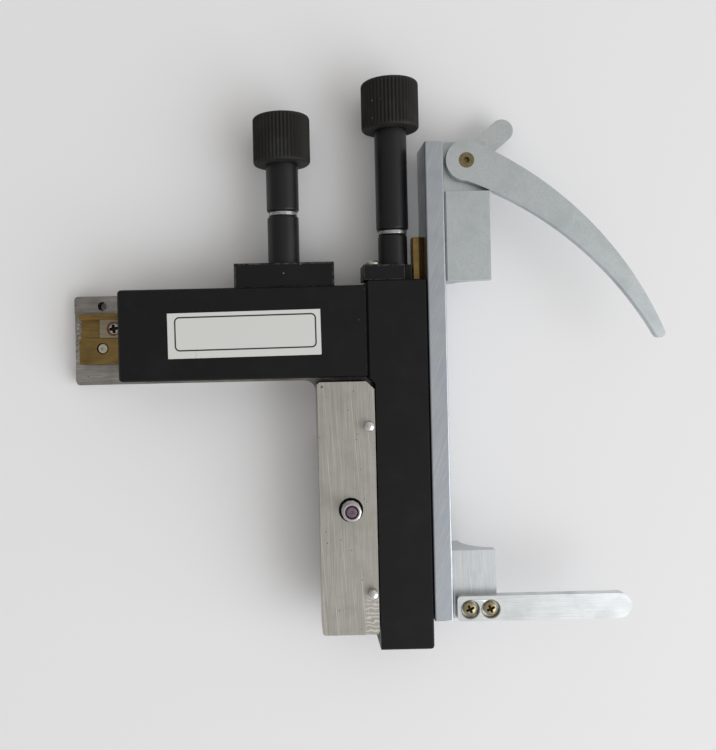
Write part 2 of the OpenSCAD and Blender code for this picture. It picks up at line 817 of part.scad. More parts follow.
module carriage_housing() {
    color([0.07, 0.07, 0.075])
    difference() {
        translate([0, 0, carriage_z0])
            linear_extrude(carriage_h)
                rounded_rect([carriage_x0, carriage_y0], [carriage_x1, carriage_y1], housing_corner);
        along_x(carriage_x0 - past, carriage_x1 + past)
            dovetail_outline(slide_gap, carriage_z0 - past);
        rod_y(pinion_x, pinion_y0 - pass_gap, pinion_y1 + pass_gap, axis_z, pinion_room);
        rod_y(pinion_x, pinion_y0 - 3, pinion_y1, axis_z, journal_d / 2 + run_gap);
        rod_y(pinion_x, pinion_y1, carriage_y1 + past, axis_z, pinion_shaft_d / 2 + run_gap);
        for (y = [carriage_y0, carriage_y1])
            edge_cut_x(carriage_x0, carriage_x1, y, housing_z, 0.3);
        for (x = [carriage_x0, carriage_x1])
            edge_cut_y(x, carriage_y0, carriage_y1, housing_z, 0.35);
        block_screw_rods(screw_gap);
        housing_screw_rods(screw_gap);
    }
}

module label() {
    y = (carriage_y0 + carriage_y1) / 2;
    color([0.93, 0.93, 0.93])
    translate([carriage_x0 + label_in + label_l / 2, y - 0.1, housing_z])
        rotate(label_turn)
            translate([-label_l / 2, -label_w / 2, 0])
                cube([label_l, label_w, label_t]);
}

module pinion_block() {
    z1 = housing_z - block_drop;
    color([0.08, 0.08, 0.085])
    difference() {
        block([pinion_x - block_l / 2, carriage_y1, z1 - block_h],
              [pinion_x + block_l / 2, block_y1, z1]);
        rod_y(pinion_x, carriage_y1 - past, block_y1 + past, axis_z, pinion_shaft_d / 2 + run_gap);
        edge_cut_x(pinion_x - block_l / 2, pinion_x + block_l / 2, block_y1, z1, 0.25);
        for (side = [-1, 1])
            edge_cut_y(pinion_x + side * block_l / 2, carriage_y1, block_y1, z1, 0.25);
        block_screw_rods(screw_gap);
    }
}

module pinion_block_screws() {
    color([0.2, 0.2, 0.2])
    difference() {
        block_screw_rods(0);
        for (side = [-1, 1])
            rod_y(pinion_x + side * block_screw_pitch / 2, block_y1 - 0.9, block_y1, axis_z, 0.8, 6);
    }
}

// A fixed sleeve, bevelled at its outer end, with a running bore
module fixed_sleeve(x, y0, y1, d, shaft_d) {
    bevel = 0.3;
    difference() {
        union() {
            rod_y(x, y0, y1 - bevel, axis_z, d / 2, round_fn);
            translate([x, y1 - bevel, axis_z])
                rotate([-90, 0, 0])
                    cylinder(h = bevel, r1 = d / 2, r2 = d / 2 - bevel, $fn = round_fn);
        }
        rod_y(x, y0 - past, y1 + past, axis_z, shaft_d / 2 + run_gap);
    }
}

module carriage_sleeve()
    color([0.09, 0.09, 0.095])
    fixed_sleeve(pinion_x, block_y1, carriage_sleeve_y1, carriage_sleeve_d, pinion_shaft_d);

module guide_outline() {
    difference() {
        rounded_rect([guide_joint_x, guide_y0], [guide_x1, guide_y1], housing_corner);
        difference() {
            translate([guide_joint_x - past, guide_y0 - past])
                square([guide_step + past, carriage_y0 - guide_y0 + past]);
            translate([guide_x0, carriage_y0])
                rotate(45)
                    square(guide_step * sqrt(2), center = true);
        }
    }
}

// The strip's dovetail in X and Z, with a gap all round it
module strip_outline(gap) {
    head = strip_head_h / 2 + gap;
    neck = strip_neck_h / 2 + gap;
    polygon([
        [strip_x0 - gap, strip_z - head], [strip_x0 + strip_head_t, strip_z - head],
        [bar_x0, strip_z - neck], [bar_x0, strip_z + neck],
        [strip_x0 + strip_head_t, strip_z + head], [strip_x0 - gap, strip_z + head]
    ]);
}

module bar_housing() {
    x_cavity = guide_cavity_x();
    nut_half = nut_h / 2 + pass_gap;
    color([0.07, 0.07, 0.075])
    difference() {
        translate([0, 0, guide_z0])
            linear_extrude(guide_h)
                guide_outline();
        block([x_cavity, nut_room_y0, axis_z - nut_half],
              [strip_x0, nut_room_y1, axis_z + nut_half]);
        along_y(strip_y0 - bar_travel_down - pass_gap, guide_y1 + past)
            strip_outline(slide_gap);
        rod_y(lead_x, guide_y0 + guide_end, guide_y1 - guide_bearing, axis_z, tunnel_r);
        rod_y(lead_x, guide_y0 + past, guide_y0 + guide_end + past, axis_z, journal_d / 2 + run_gap);
        rod_y(lead_x, guide_y1 - guide_bearing - past, guide_y1 + past, axis_z, lead_d / 2 + run_gap);
        along_x(guide_joint_x - past, guide_x1 + past)
            dovetail_outline(slide_gap, guide_z0 - past);
        edge_cut_y(guide_x1, guide_y0, guide_y1, housing_z, 0.3);
        for (y = [guide_y0, guide_y1])
            edge_cut_x(guide_joint_x, guide_x1, y, housing_z, 0.3);
        edge_cut_y(guide_joint_x, carriage_y0, guide_y1, housing_z, 0.35);
        housing_screw_rods(screw_gap);
        plate_screw_rod(screw_gap);
    }
}

module housing_screws() {
    color([0.25, 0.25, 0.25])
    difference() {
        housing_screw_rods(0);
        for (y = [carriage_y0 + 1.7, carriage_y1 - 1.7])
            rod_x(guide_cavity_x() - 0.8, guide_cavity_x(), y, axis_z, 0.6, 6);
    }
}

// Screw that holds the bearing plate
plate_screw_x = guide_joint_x + 1.6;
plate_screw_z = housing_z - 2.2;
module plate_screw_rod(gap)
    rod_y(plate_screw_x, guide_y1 - 4, plate_y1, plate_screw_z, 0.9 + gap, 24);

module bearing_plate() {
    plate_z1 = housing_z - 0.2;
    notch_x = lead_x + 1.7;
    color([0.08, 0.08, 0.085])
    difference() {
        block([guide_joint_x - plate_over, guide_y1, guide_z0 + 0.2],
              [strip_x0 - slide_gap - pass_gap, plate_y1, plate_z1]);
        block([notch_x, guide_y1 - past, axis_z + bar_sleeve_d / 2 - 0.3],
              [strip_x0, plate_y1 + past, plate_z1 + past]);
        edge_cut_x(guide_joint_x - plate_over, notch_x, plate_y1, plate_z1, 0.25);
        rod_y(lead_x, guide_y1 - past, plate_y1 + past, axis_z, lead_d / 2 + run_gap);
        plate_screw_rod(screw_gap);
    }
}

module bearing_plate_screw() {
    head_h = 0.9;
    color([0.78, 0.78, 0.76])
    difference() {
        union() {
            plate_screw_rod(0);
            translate([plate_screw_x, plate_y1, plate_screw_z])
                rotate([-90, 0, 0]) {
                    cylinder(h = head_h / 2, r = plate_screw_d / 2, $fn = 48);
                    translate([0, 0, head_h / 2])
                        cylinder(h = head_h / 2, r1 = plate_screw_d / 2, r2 = plate_screw_d / 3, $fn = 48);
                }
        }
        block([plate_screw_x - plate_screw_d, plate_y1 + head_h / 2, plate_screw_z - 0.2],
              [plate_screw_x + plate_screw_d, plate_y1 + head_h + past, plate_screw_z + 0.2]);
    }
}

module bar_sleeve()
    color([0.09, 0.09, 0.095])
    fixed_sleeve(lead_x, plate_y1, bar_sleeve_y1, bar_sleeve_d, lead_d);

module bar_vernier() {
    y0 = (guide_y0 + carriage_y0) / 2;
    color([0.75, 0.75, 0.74])
    block([guide_x1 - housing_corner - scale_w, y0, guide_z0 - scale_t],
          [guide_x1 - housing_corner, y0 + vernier_l, guide_z0]);
}

// ---- Knob shafts ----

// Half thickness angle of an involute tooth at radius r, in degrees
function involute(angle) = tan(angle) * 180 / PI - angle;
function tooth_half_angle(r, base) =
    90 / pinion_teeth - backlash / 4 / pitch_r * 180 / PI
    + involute(pressure_angle) - involute(acos(min(1, base / r)));

module pinion_outline() {
    base = pitch_r * cos(pressure_angle);
    root = pitch_r - dedendum;
    tip = pitch_r + pinion_addendum;
    steps = 4;
    flank = [for (i = [0 : steps]) base + (tip - base) * i / steps];
    pitch = 360 / pinion_teeth;
    polygon([
        for (t = [0 : pinion_teeth - 1])
            for (p = concat(
                [[root, -tooth_half_angle(base, base)]],
                [for (r = flank) [r, -tooth_half_angle(r, base)]],
                [for (i = [steps : -1 : 0]) [flank[i], tooth_half_angle(flank[i], base)]],
                [[root, tooth_half_angle(base, base)]]
            ))
                p[0] * [cos(p[1] + t * pitch - 90), sin(p[1] + t * pitch - 90)]
    ]);
}

module drive_pinion() {
    color([0.7, 0.58, 0.32])
    difference() {
        translate([pinion_x, 0, axis_z])
            along_y(pinion_y0, pinion_y1)
                pinion_outline();
        rod_y(pinion_x, pinion_y0 - past, pinion_y1 + past, axis_z, pinion_shaft_d / 2);
    }
}

module pinion_shaft() {
    color([0.6, 0.6, 0.6]) {
        rod_y(pinion_x, pinion_y0 - 3 + pass_gap, pinion_y0, axis_z, journal_d / 2);
        rod_y(pinion_x, pinion_y0, carriage_skirt_y1 + knob_l - knob_cap, axis_z, pinion_shaft_d / 2);
    }
}

module collar(x, y0, shaft_d)
    difference() {
        rod_y(x, y0, y0 + collar_l, axis_z, collar_d / 2, round_fn);
        rod_y(x, y0 - past, y0 + collar_l + past, axis_z, shaft_d / 2);
    }

// A turning sleeve, bevelled at its inner end, fixed to its shaft
module skirt(x, y0, y1, d, shaft_d) {
    bevel = 0.4;
    difference() {
        union() {
            rod_y(x, y0 + bevel, y1, axis_z, d / 2, round_fn);
            translate([x, y0, axis_z])
                rotate([-90, 0, 0])
                    cylinder(h = bevel, r1 = d / 2 - bevel, r2 = d / 2, $fn = round_fn);
        }
        rod_y(x, y0 - past, y1 + past, axis_z, shaft_d / 2);
    }
}

module turned_knob(x, y0, shaft_d)
    difference() {
        translate([x, y0, axis_z])
            rotate([-90, 0, 0])
                knurled_knob(knob_d, knob_l, knob_knurls, knob_rim);
        rod_y(x, y0 - past, y0 + knob_l - knob_cap, axis_z, shaft_d / 2);
    }

module carriage_collar()
    color([0.72, 0.73, 0.72])
    collar(pinion_x, carriage_sleeve_y1 + thrust_gap, pinion_shaft_d);

module carriage_skirt()
    color([0.08, 0.08, 0.085])
    skirt(pinion_x, carriage_skirt_y0, carriage_skirt_y1, carriage_skirt_d, pinion_shaft_d);

module carriage_knob()
    color([0.09, 0.085, 0.08])
    turned_knob(pinion_x, carriage_skirt_y1, pinion_shaft_d);

module lead_screw() {
    color([0.6, 0.6, 0.6]) {
        rod_y(lead_x, guide_y0 + past + pass_gap, guide_y0 + guide_end + thrust_gap, axis_z, journal_d / 2);
        rod_y(lead_x, guide_y0 + guide_end + thrust_gap, bar_skirt_y1 + knob_l - knob_cap,
            axis_z, lead_d / 2);
    }
}

module bar_collar()
    color([0.72, 0.73, 0.72])
    collar(lead_x, bar_sleeve_y1 + thrust_gap, lead_d);

module bar_skirt()
    color([0.08, 0.08, 0.085])
    skirt(lead_x, bar_skirt_y0, bar_skirt_y1, bar_skirt_d, lead_d);

module bar_knob()
    color([0.09, 0.085, 0.08])
    turned_knob(lead_x, bar_skirt_y1, lead_d);

// ---- Slide bar ----

function arm_screw_ys() = [
    pivot_arm_y0 + arm_screw_in, seat_y + arm_screw_past,
    fixed_arm_y0 + arm_screw_edge, fixed_arm_y1 - arm_screw_edge
];

module arm_screw_rods(gap) {
    for (y = arm_screw_ys()) {
        rod_x(bar_x0 + 1.4, bar_x1 + 4, y, strip_z, 0.9 + gap, 24);
        rod_x(bar_x0 + 0.1, bar_x0 + 1.4, y, strip_z, 1.6 + gap, 32);
    }
}

function strip_screw_ys() = [strip_y1 - 3.5, (strip_y0 + strip_y1) / 2, nut_y1 + 4];

module strip_screw_rods(gap) {
    for (y = strip_screw_ys()) {
        rod_x(strip_x0 + 0.9, bar_x1 - 1, y, strip_z, 0.6 + gap, 24);
        rod_x(strip_x0 + 0.1, strip_x0 + 0.9, y, strip_z, 1.1 + gap, 32);
    }
}

module slide_bar() {
    color([0.66, 0.68, 0.72])
    difference() {
        block([bar_x0, bar_y0, bar_z0], [bar_x1, bar_y1, housing_z]);
        for (x = [bar_x0, bar_x1])
            edge_cut_y(x, bar_y0, bar_y1, housing_z, 0.2);
        arm_screw_rods(screw_gap);
        strip_screw_rods(screw_gap);
    }
}

module guide_strip() {
    color([0.62, 0.52, 0.28])
    difference() {
        along_y(strip_y0, strip_y1)
            strip_outline(0);
        strip_screw_rods(screw_gap);
    }
}

module strip_screws() {
    color([0.6, 0.6, 0.6])
    difference() {
        strip_screw_rods(0);
        for (y = strip_screw_ys())
            block([strip_x0, y - 0.9, strip_z - 0.15], [strip_x0 + 0.4, y + 0.9, strip_z + 0.15]);
    }
}

module drive_nut() {
    color([0.7, 0.58, 0.32])
    difference() {
        block([lead_x - nut_reach, nut_y0, axis_z - nut_h / 2], [strip_x0, nut_y1, axis_z + nut_h / 2]);
        rod_y(lead_x, nut_y0 - past, nut_y1 + past, axis_z, lead_d / 2 + run_gap);
    }
}

module bar_scale() {
    x = (bar_x0 + bar_x1) / 2;
    y = (bar_y0 + bar_y1) / 2;
    color([0.75, 0.75, 0.74])
    block([x - scale_w / 2, y - scale_l / 2, bar_z0 - scale_t],
          [x + scale_w / 2, y + scale_l / 2, bar_z0]);
}

// ---- Arms and fingers ----

// An arm's outline in X and Z: flat on its near side, hollowed on its far side
module arm_profile(near, far) {
    difference() {
        translate([bar_x1, far])
            square([arms_w, near - far]);
        translate([arms_x1, near - arms_edge_t - arms_hollow_r])
            circle(r = arms_hollow_r, $fn = round_fn);
        translate([bar_x1, near])
            rotate(45)
                square(arms_chamfer * sqrt(2), center = true);
    }
}

module pivot_arm() {
    near = housing_z - pivot_arm_drop;
    color([0.64, 0.66, 0.67])
    difference() {
        union() {
            along_y(pivot_arm_y0, seat_y)
                arm_profile(near, near - pivot_arm_h);
            block([bar_x1, seat_y, boss_z0], [arms_x1, pivot_arm_y1, boss_z1]);
        }
        rod_z(pivot_x, pivot_y, boss_z0 - past, boss_z1 + past, pivot_d / 2 + run_gap);
        rod_z(pivot_x, pivot_y, boss_z0 - past, boss_z0 + spring_room(), spring_d / 2 + spring_wire_d);
        arm_screw_rods(screw_gap);
    }
}

// Depth of the spring's pocket in the pivot arm
function spring_room() = spring_wire_d * (spring_turns + 0.6);

module fixed_arm() {
    color([0.64, 0.66, 0.67])
    difference() {
        along_y(fixed_arm_y0, fixed_arm_y1)
            arm_profile(finger_z0, finger_z0 - fixed_arm_h);
        arm_screw_rods(screw_gap);
        finger_screw_rods(screw_gap);
    }
}

module arm_screws() {
    color([0.25, 0.25, 0.25])
    difference() {
        arm_screw_rods(0);
        for (y = arm_screw_ys())
            rod_x(bar_x0, bar_x0 + 0.8, y, strip_z, 0.75, 6);
    }
}

function finger_screw_xs() = [finger_x0 + finger_screw_in, finger_x0 + finger_screw_in + finger_screw_pitch];
function finger_screw_y() = fixed_arm_y0 + finger_w * 0.46;

module finger_screw_rods(gap) {
    for (x = finger_screw_xs()) {
        rod_z(x, finger_screw_y(), finger_z0 - 1.4, finger_z0 + 0.7, 0.9 + gap, 24);
        rod_z(x, finger_screw_y(), finger_z0 + 0.7, finger_z1 - 0.2, finger_screw_d / 2 + gap, 48);
    }
}

module fixed_finger() {
    end_r = finger_w / 2;
    color([0.78, 0.79, 0.8])
    difference() {
        translate([0, 0, finger_z0])
            linear_extrude(finger_t) {
                rounded_rect([finger_x0, fixed_arm_y0], [finger_x0 + finger_l - end_r, finger_y1], 0.8);
                translate([finger_x0 + finger_l - end_r - 3, fixed_arm_y0])
                    square([3, finger_w]);
                translate([finger_x0 + finger_l - end_r, fixed_arm_y0 + end_r])
                    circle(r = end_r, $fn = 64);
            }
        for (x = finger_screw_xs()) {
            rod_z(x, finger_screw_y(), finger_z0 + 0.7, finger_z1 + past, finger_bore_r);
            translate([x, finger_screw_y(), finger_z1 - finger_bore_edge])
                cylinder(h = 2 * finger_bore_edge, r1 = finger_bore_r, r2 = finger_mouth_r, $fn = 48);
        }
        finger_screw_rods(screw_gap);
    }
}

module finger_screws() {
    color([0.72, 0.62, 0.4])
    difference() {
        finger_screw_rods(0);
        for (x = finger_screw_xs())
            cross_recess(x, finger_screw_y(), finger_z1 - 0.2, finger_screw_d * 0.7, finger_screw_d * 0.19);
    }
}

// A torsion spring round the pivot, drawn as close rings
module finger_spring() {
    z0 = boss_z0 + 0.15 + spring_wire_d / 2;
    wire_r = spring_wire_d / 2;
    color([0.6, 0.6, 0.58])
    translate([pivot_x, pivot_y, z0]) {
        for (i = [0 : spring_turns - 1])
            translate([0, 0, i * spring_wire_d])
                rotate_extrude($fn = 64)
                    translate([spring_d / 2, 0])
                        circle(r = wire_r, $fn = 24);
    }
}

// Middle of an edge's circle about the pivot, from how far it is off the pivot and the tip
function edge_centre(to_pivot, to_tip) =
    let(
        tip = [tip_right, -tip_below],
        span = norm(tip),
        along = (pow(to_pivot, 2) - pow(to_tip, 2) + pow(span, 2)) / (2 * span),
        aside = sqrt(pow(to_pivot, 2) - pow(along, 2))
    )
    tip / span * along + [tip[1], -tip[0]] / span * aside;
function outer_centre() = edge_centre(outer_r - neck_out, outer_r - tip_r);
function inner_centre() = edge_centre(inner_r + neck_in, inner_r + tip_r);

// Height of the finger's inner edge beside the pivot
function inner_edge_y(x) =
    inner_centre()[1] + sqrt(pow(inner_r, 2) - pow(x - inner_centre()[0], 2));

// The curved finger's outline about its pivot
module blade_outline() {
    reach = 1.5 * (tip_right + tip_below);
    tip = [tip_right, -tip_below];
    way = tip - outer_centre();
    difference() {
        intersection() {
            translate(outer_centre())
                circle(r = outer_r, $fn = 360);
            translate([0, -reach])
                square([reach, 2 * reach]);
            translate(tip)
                rotate(atan2(way[1], way[0]) - 90)
                    translate([-2 * reach, -reach])
                        square([2 * reach, 2 * reach]);
        }
        translate(inner_centre())
            circle(r = inner_r, $fn = 360);
    }
    translate(tip)
        circle(r = tip_r, $fn = 48);
    circle(r = hub_r, $fn = 96);
}

module curved_finger() {
    color([0.68, 0.69, 0.69])
    difference() {
        translate([pivot_x, pivot_y, blade_z0])
            linear_extrude(blade_t)
                blade_outline();
        rod_z(pivot_x, pivot_y, blade_z0 - past, blade_z1 + past, pivot_d / 2);
    }
}

module pivot_pin() {
    color([0.42, 0.36, 0.28])
    difference() {
        rod_z(pivot_x, pivot_y, lever_z0 - pivot_nut_t, blade_z1, pivot_d / 2);
        rod_z(pivot_x, pivot_y, blade_z1 - 0.9, blade_z1 + past, 0.7, 6);
    }
}

module thumb_lever() {
    color([0.66, 0.67, 0.67])
    difference() {
        translate([pivot_x, pivot_y, lever_z0])
            linear_extrude(lever_t)
                rotate(lever_angle) {
                    circle(r = lever_w / 2 + 0.6, $fn = 64);
                    translate([0, -lever_w / 2])
                        square([lever_l, lever_w]);
                    translate([lever_l, 0])
                        circle(r = lever_w / 2, $fn = 64);
                }
        rod_z(pivot_x, pivot_y, lever_z0 - past, lever_z1 + past, pivot_d / 2);
    }
}

module pivot_nut() {
    color([0.72, 0.62, 0.4])
    difference() {
        rod_z(pivot_x, pivot_y, lever_z0 - pivot_nut_t, lever_z0, pivot_nut_d / 2);
        rod_z(pivot_x, pivot_y, lever_z0 - pivot_nut_t - past, lever_z0 + past, pivot_d / 2);
    }
}

base_frame();
locating_pins();
captive_ring();
carriage_rail();
carriage_rack();
rack_screw();
rail_screws();
clamp_washer();
clamp_stud();
clamp_knob();
carriage_housing();
label();
pinion_block();
pinion_block_screws();
carriage_sleeve();
bar_housing();
housing_screws();
bearing_plate();
bearing_plate_screw();
bar_sleeve();
bar_vernier();
pinion_shaft();
drive_pinion();
carriage_collar();
carriage_skirt();
carriage_knob();
lead_screw();
bar_collar();
bar_skirt();
bar_knob();
slide_bar();
guide_strip();
strip_screws();
drive_nut();
bar_scale();
pivot_arm();
fixed_arm();
arm_screws();
fixed_finger();
finger_screws();
finger_spring();
curved_finger();
pivot_pin();
thumb_lever();
pivot_nut();
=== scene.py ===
"""The look of an attachable mechanical stage for a microscope, lying on its upper face.

Every size is in millimetres here and is turned to metres with MM. The frame gives each
CAD node's shape. The nodes' own shapes get broken edges and real finishes, and what is
turned, knurled, threaded, punched or engraved is made by Geometry Nodes trees.
"""

import json
import math
import random

import bmesh
import bpy
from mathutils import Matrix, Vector


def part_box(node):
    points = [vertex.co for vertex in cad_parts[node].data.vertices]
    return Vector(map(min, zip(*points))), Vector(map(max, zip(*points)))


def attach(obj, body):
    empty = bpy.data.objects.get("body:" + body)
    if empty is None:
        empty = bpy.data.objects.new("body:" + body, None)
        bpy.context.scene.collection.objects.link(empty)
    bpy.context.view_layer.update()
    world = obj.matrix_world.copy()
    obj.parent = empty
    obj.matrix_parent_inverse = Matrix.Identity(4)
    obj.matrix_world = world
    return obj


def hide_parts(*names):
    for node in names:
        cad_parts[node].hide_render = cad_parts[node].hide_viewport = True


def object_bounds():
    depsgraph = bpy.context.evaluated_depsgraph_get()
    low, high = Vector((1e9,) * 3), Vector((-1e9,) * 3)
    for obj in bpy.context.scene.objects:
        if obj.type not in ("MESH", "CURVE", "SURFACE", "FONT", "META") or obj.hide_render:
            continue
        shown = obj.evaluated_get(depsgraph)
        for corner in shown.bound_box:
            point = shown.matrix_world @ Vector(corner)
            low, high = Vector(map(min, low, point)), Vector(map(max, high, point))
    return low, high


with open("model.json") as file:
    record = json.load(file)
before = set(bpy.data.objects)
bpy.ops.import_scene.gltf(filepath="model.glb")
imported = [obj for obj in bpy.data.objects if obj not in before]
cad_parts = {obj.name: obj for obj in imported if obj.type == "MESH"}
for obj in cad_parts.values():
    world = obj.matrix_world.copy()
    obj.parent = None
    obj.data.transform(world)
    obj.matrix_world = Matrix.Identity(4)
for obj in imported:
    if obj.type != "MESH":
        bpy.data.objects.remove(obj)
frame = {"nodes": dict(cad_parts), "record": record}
CAD_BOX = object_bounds()

MM = 0.001
RECORD = frame["record"]
BODY_OF = {n: b for b, ns in RECORD["behaviour"]["bodies"].items() for n in ns}


# ---- Helpers ----


def linear(code):
    """An sRGB hex colour as linear red, green, blue and alpha."""
    channels = [int(code[i : i + 2], 16) / 255 for i in (1, 3, 5)]
    return [c / 12.92 if c <= 0.04045 else ((c + 0.055) / 1.055) ** 2.4 for c in channels] + [1.0]


def fill(tree, node, inputs):
    """Sets each named input of a node to a value, or links it to a socket."""
    for name, value in inputs.items():
        if isinstance(value, bpy.types.NodeSocket):
            tree.links.new(value, node.inputs[name])
        else:
            node.inputs[name].default_value = value


def add(tree, kind, inputs=None, **settings):
    """One node, with its settings, and its inputs set to a value or linked to a socket."""
    node = tree.nodes.new(kind)
    for name, value in settings.items():
        setattr(node, name, value)
    fill(tree, node, inputs or {})
    return node


def box_of(node):
    """The low and high corner of a CAD node's box, in millimetres."""
    return [Vector(corner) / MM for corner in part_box(node)]


def placed(name, data):
    """An object of that name and data, in the scene."""
    thing = bpy.data.objects.new(name, data)
    bpy.context.scene.collection.objects.link(thing)
    return thing


def baked(thing):
    """The plain mesh that an object's modifiers make. The object itself goes."""
    graph = bpy.context.evaluated_depsgraph_get()
    mesh = bpy.data.meshes.new_from_object(thing.evaluated_get(graph))
    bpy.data.objects.remove(thing)
    return mesh


def mesh_of(work, name):
    """A working mesh written out as a plain mesh of that name."""
    mesh = bpy.data.meshes.new(name)
    work.to_mesh(mesh)
    work.free()
    return mesh


# ---- Finishes ----


def new_material(name):
    """A material of that name, its tree and shader, and the place on the piece, in metres."""
    material = bpy.data.materials.new(name)
    material.use_nodes = True
    tree = material.node_tree
    place = add(tree, "ShaderNodeTexCoord").outputs["Object"]
    return material, tree, tree.nodes["Principled BSDF"], place


def worked_metal(name, low, high, grain, rough, turn=0.0, shine=0.35, pits=0.0, stain=None,
                 depth=0.012, chatter=None, rubbed_and_highlit_edge="#E9E9E6"):
    """Bare metal with the parallel marks of its milling, filing or brushing.

    grain is the length, width and height of one mark in millimetres, and turn its
    direction on the near face in degrees. shine is the share of bright scratches,
    pits the share of dark pinholes, and stain the colour of handling marks. chatter
    is the corner, in millimetres, beyond which the tool left bright wavy dashes, and
    the last colour is that of a broken edge: rubbed metal with a painted highlight.
    """
    material, tree, shader, place = new_material(name)

    # tool marks: a noise drawn out along the tool's way
    along = add(tree, "ShaderNodeMapping", {
        "Vector": place, "Rotation": (0, 0, math.radians(turn)), "Scale": [g * MM for g in grain],
    }, vector_type="TEXTURE").outputs[0]
    marks = add(tree, "ShaderNodeTexNoise", {
        "Vector": along, "Scale": 1.0, "Detail": 5.0, "Roughness": 0.62,
    }).outputs["Fac"]
    marks_clear = add(tree, "ShaderNodeMapRange", {
        "Value": marks, "From Min": 0.3, "From Max": 0.7,
    }).outputs[0]
    body = add(tree, "ShaderNodeMix", {
        0: marks_clear, 6: linear(low), 7: linear(high),
    }, data_type="RGBA").outputs[2]

    # handling marks, 6 mm across
    cloud = add(tree, "ShaderNodeTexNoise", {
        "Vector": place, "Scale": 1 / (6 * MM), "Detail": 3.0, "Roughness": 0.55,
    }).outputs["Fac"]
    cloud_clear = add(tree, "ShaderNodeMapRange", {
        "Value": cloud, "From Min": 0.42, "From Max": 0.68, "To Max": 0.55,
    }).outputs[0]
    body = add(tree, "ShaderNodeMix", {
        0: cloud_clear, 6: body, 7: linear(stain or low),
    }, data_type="RGBA").outputs[2]

    # bright scratches, three marks long and 0.7 of a mark wide
    long_way = add(tree, "ShaderNodeMapping", {
        "Vector": place, "Rotation": (0, 0, math.radians(turn + 4)),
        "Scale": (grain[0] * 3 * MM, grain[1] * 0.7 * MM, grain[2] * 0.7 * MM),
    }, vector_type="TEXTURE").outputs[0]
    scratch = add(tree, "ShaderNodeTexNoise", {
        "Vector": long_way, "Scale": 1.0, "Detail": 2.0, "Roughness": 0.5, "Distortion": 0.2,
    }).outputs["Fac"]
    scratch_clear = add(tree, "ShaderNodeMapRange", {
        "Value": scratch, "From Min": 0.64, "From Max": 0.7, "To Max": shine,
    }).outputs[0]
    body = add(tree, "ShaderNodeMix", {
        0: scratch_clear, 6: body, 7: linear("#F4F2EC"),
    }, data_type="RGBA").outputs[2]

    # pinholes 0.13 to 0.29 mm across, in a share of the 0.55 mm cells
    cell = add(tree, "ShaderNodeTexVoronoi", {"Vector": place, "Scale": 1 / (0.55 * MM)})
    hole = add(tree, "ShaderNodeMapRange", {
        "Value": cell.outputs["Distance"], "From Min": 0.26, "From Max": 0.12,
    }).outputs[0]
    few = add(tree, "ShaderNodeMapRange", {
        "Value": cell.outputs["Color"], "From Min": 1.0 - pits, "From Max": 1.01 - pits,
    }).outputs[0]
    holes = add(tree, "ShaderNodeMath", {0: hole, 1: few}, operation="MULTIPLY").outputs[0]
    body = add(tree, "ShaderNodeMix", {
        0: holes, 6: body, 7: linear("#2A2825"),
    }, data_type="RGBA").outputs[2]

    if chatter:
        # dashes 0.9 mm apart, towards the right and the lower end only
        wave = add(tree, "ShaderNodeTexWave", {
            "Vector": place, "Scale": 0.35 / MM, "Distortion": 6.0,
            "Detail": 2.0, "Detail Scale": 2.0,
        }, bands_direction="Y").outputs["Fac"]
        dash = add(tree, "ShaderNodeMapRange", {
            "Value": wave, "From Min": 0.62, "From Max": 0.85,
        }).outputs[0]
        where = add(tree, "ShaderNodeSeparateXYZ", {0: place}).outputs
        right = add(tree, "ShaderNodeMapRange", {
            "Value": where[0], "From Min": chatter[0] * MM, "From Max": (chatter[0] + 0.8) * MM,
        }).outputs[0]
        lower = add(tree, "ShaderNodeMapRange", {
            "Value": where[1], "From Min": chatter[1] * MM, "From Max": (chatter[1] - 2.0) * MM,
            "To Max": 0.45,
        }).outputs[0]
        corner = add(tree, "ShaderNodeMath", {0: right, 1: lower}, operation="MULTIPLY").outputs[0]
        amount = add(tree, "ShaderNodeMath", {0: dash, 1: corner}, operation="MULTIPLY").outputs[0]
        body = add(tree, "ShaderNodeMix", {
            0: amount, 6: body, 7: linear("#EFEDE6"),
        }, data_type="RGBA").outputs[2]

    # the broken edges are rubbed and also get a painted highlight: every broken edge is painted
    # brighter than the faces
    edge = add(tree, "ShaderNodeAttribute", attribute_name="edge").outputs["Fac"]
    rubbed_and_highlit_share = add(tree, "ShaderNodeMapRange", {
        "Value": edge, "To Max": 0.45,
    }).outputs[0]
    body = add(tree, "ShaderNodeMix", {
        0: rubbed_and_highlit_share, 6: body, 7: linear(rubbed_and_highlit_edge),
    }, data_type="RGBA").outputs[2]

    height = add(tree, "ShaderNodeMath", {0: marks, 1: holes}, operation="SUBTRACT").outputs[0]
    bump = add(tree, "ShaderNodeBump", {"Height": height, "Strength": 1.0, "Distance": depth * MM})
    rough_map = add(tree, "ShaderNodeMapRange", {
        "Value": cloud, "From Min": 0.3, "From Max": 0.7,
        "To Min": rough - 0.06, "To Max": rough + 0.08,
    }).outputs[0]
    fill(tree, shader, {
        "Metallic": 1.0, "Base Color": body, "Roughness": rough_map, "Normal": bump.outputs[0],
    })
    return material


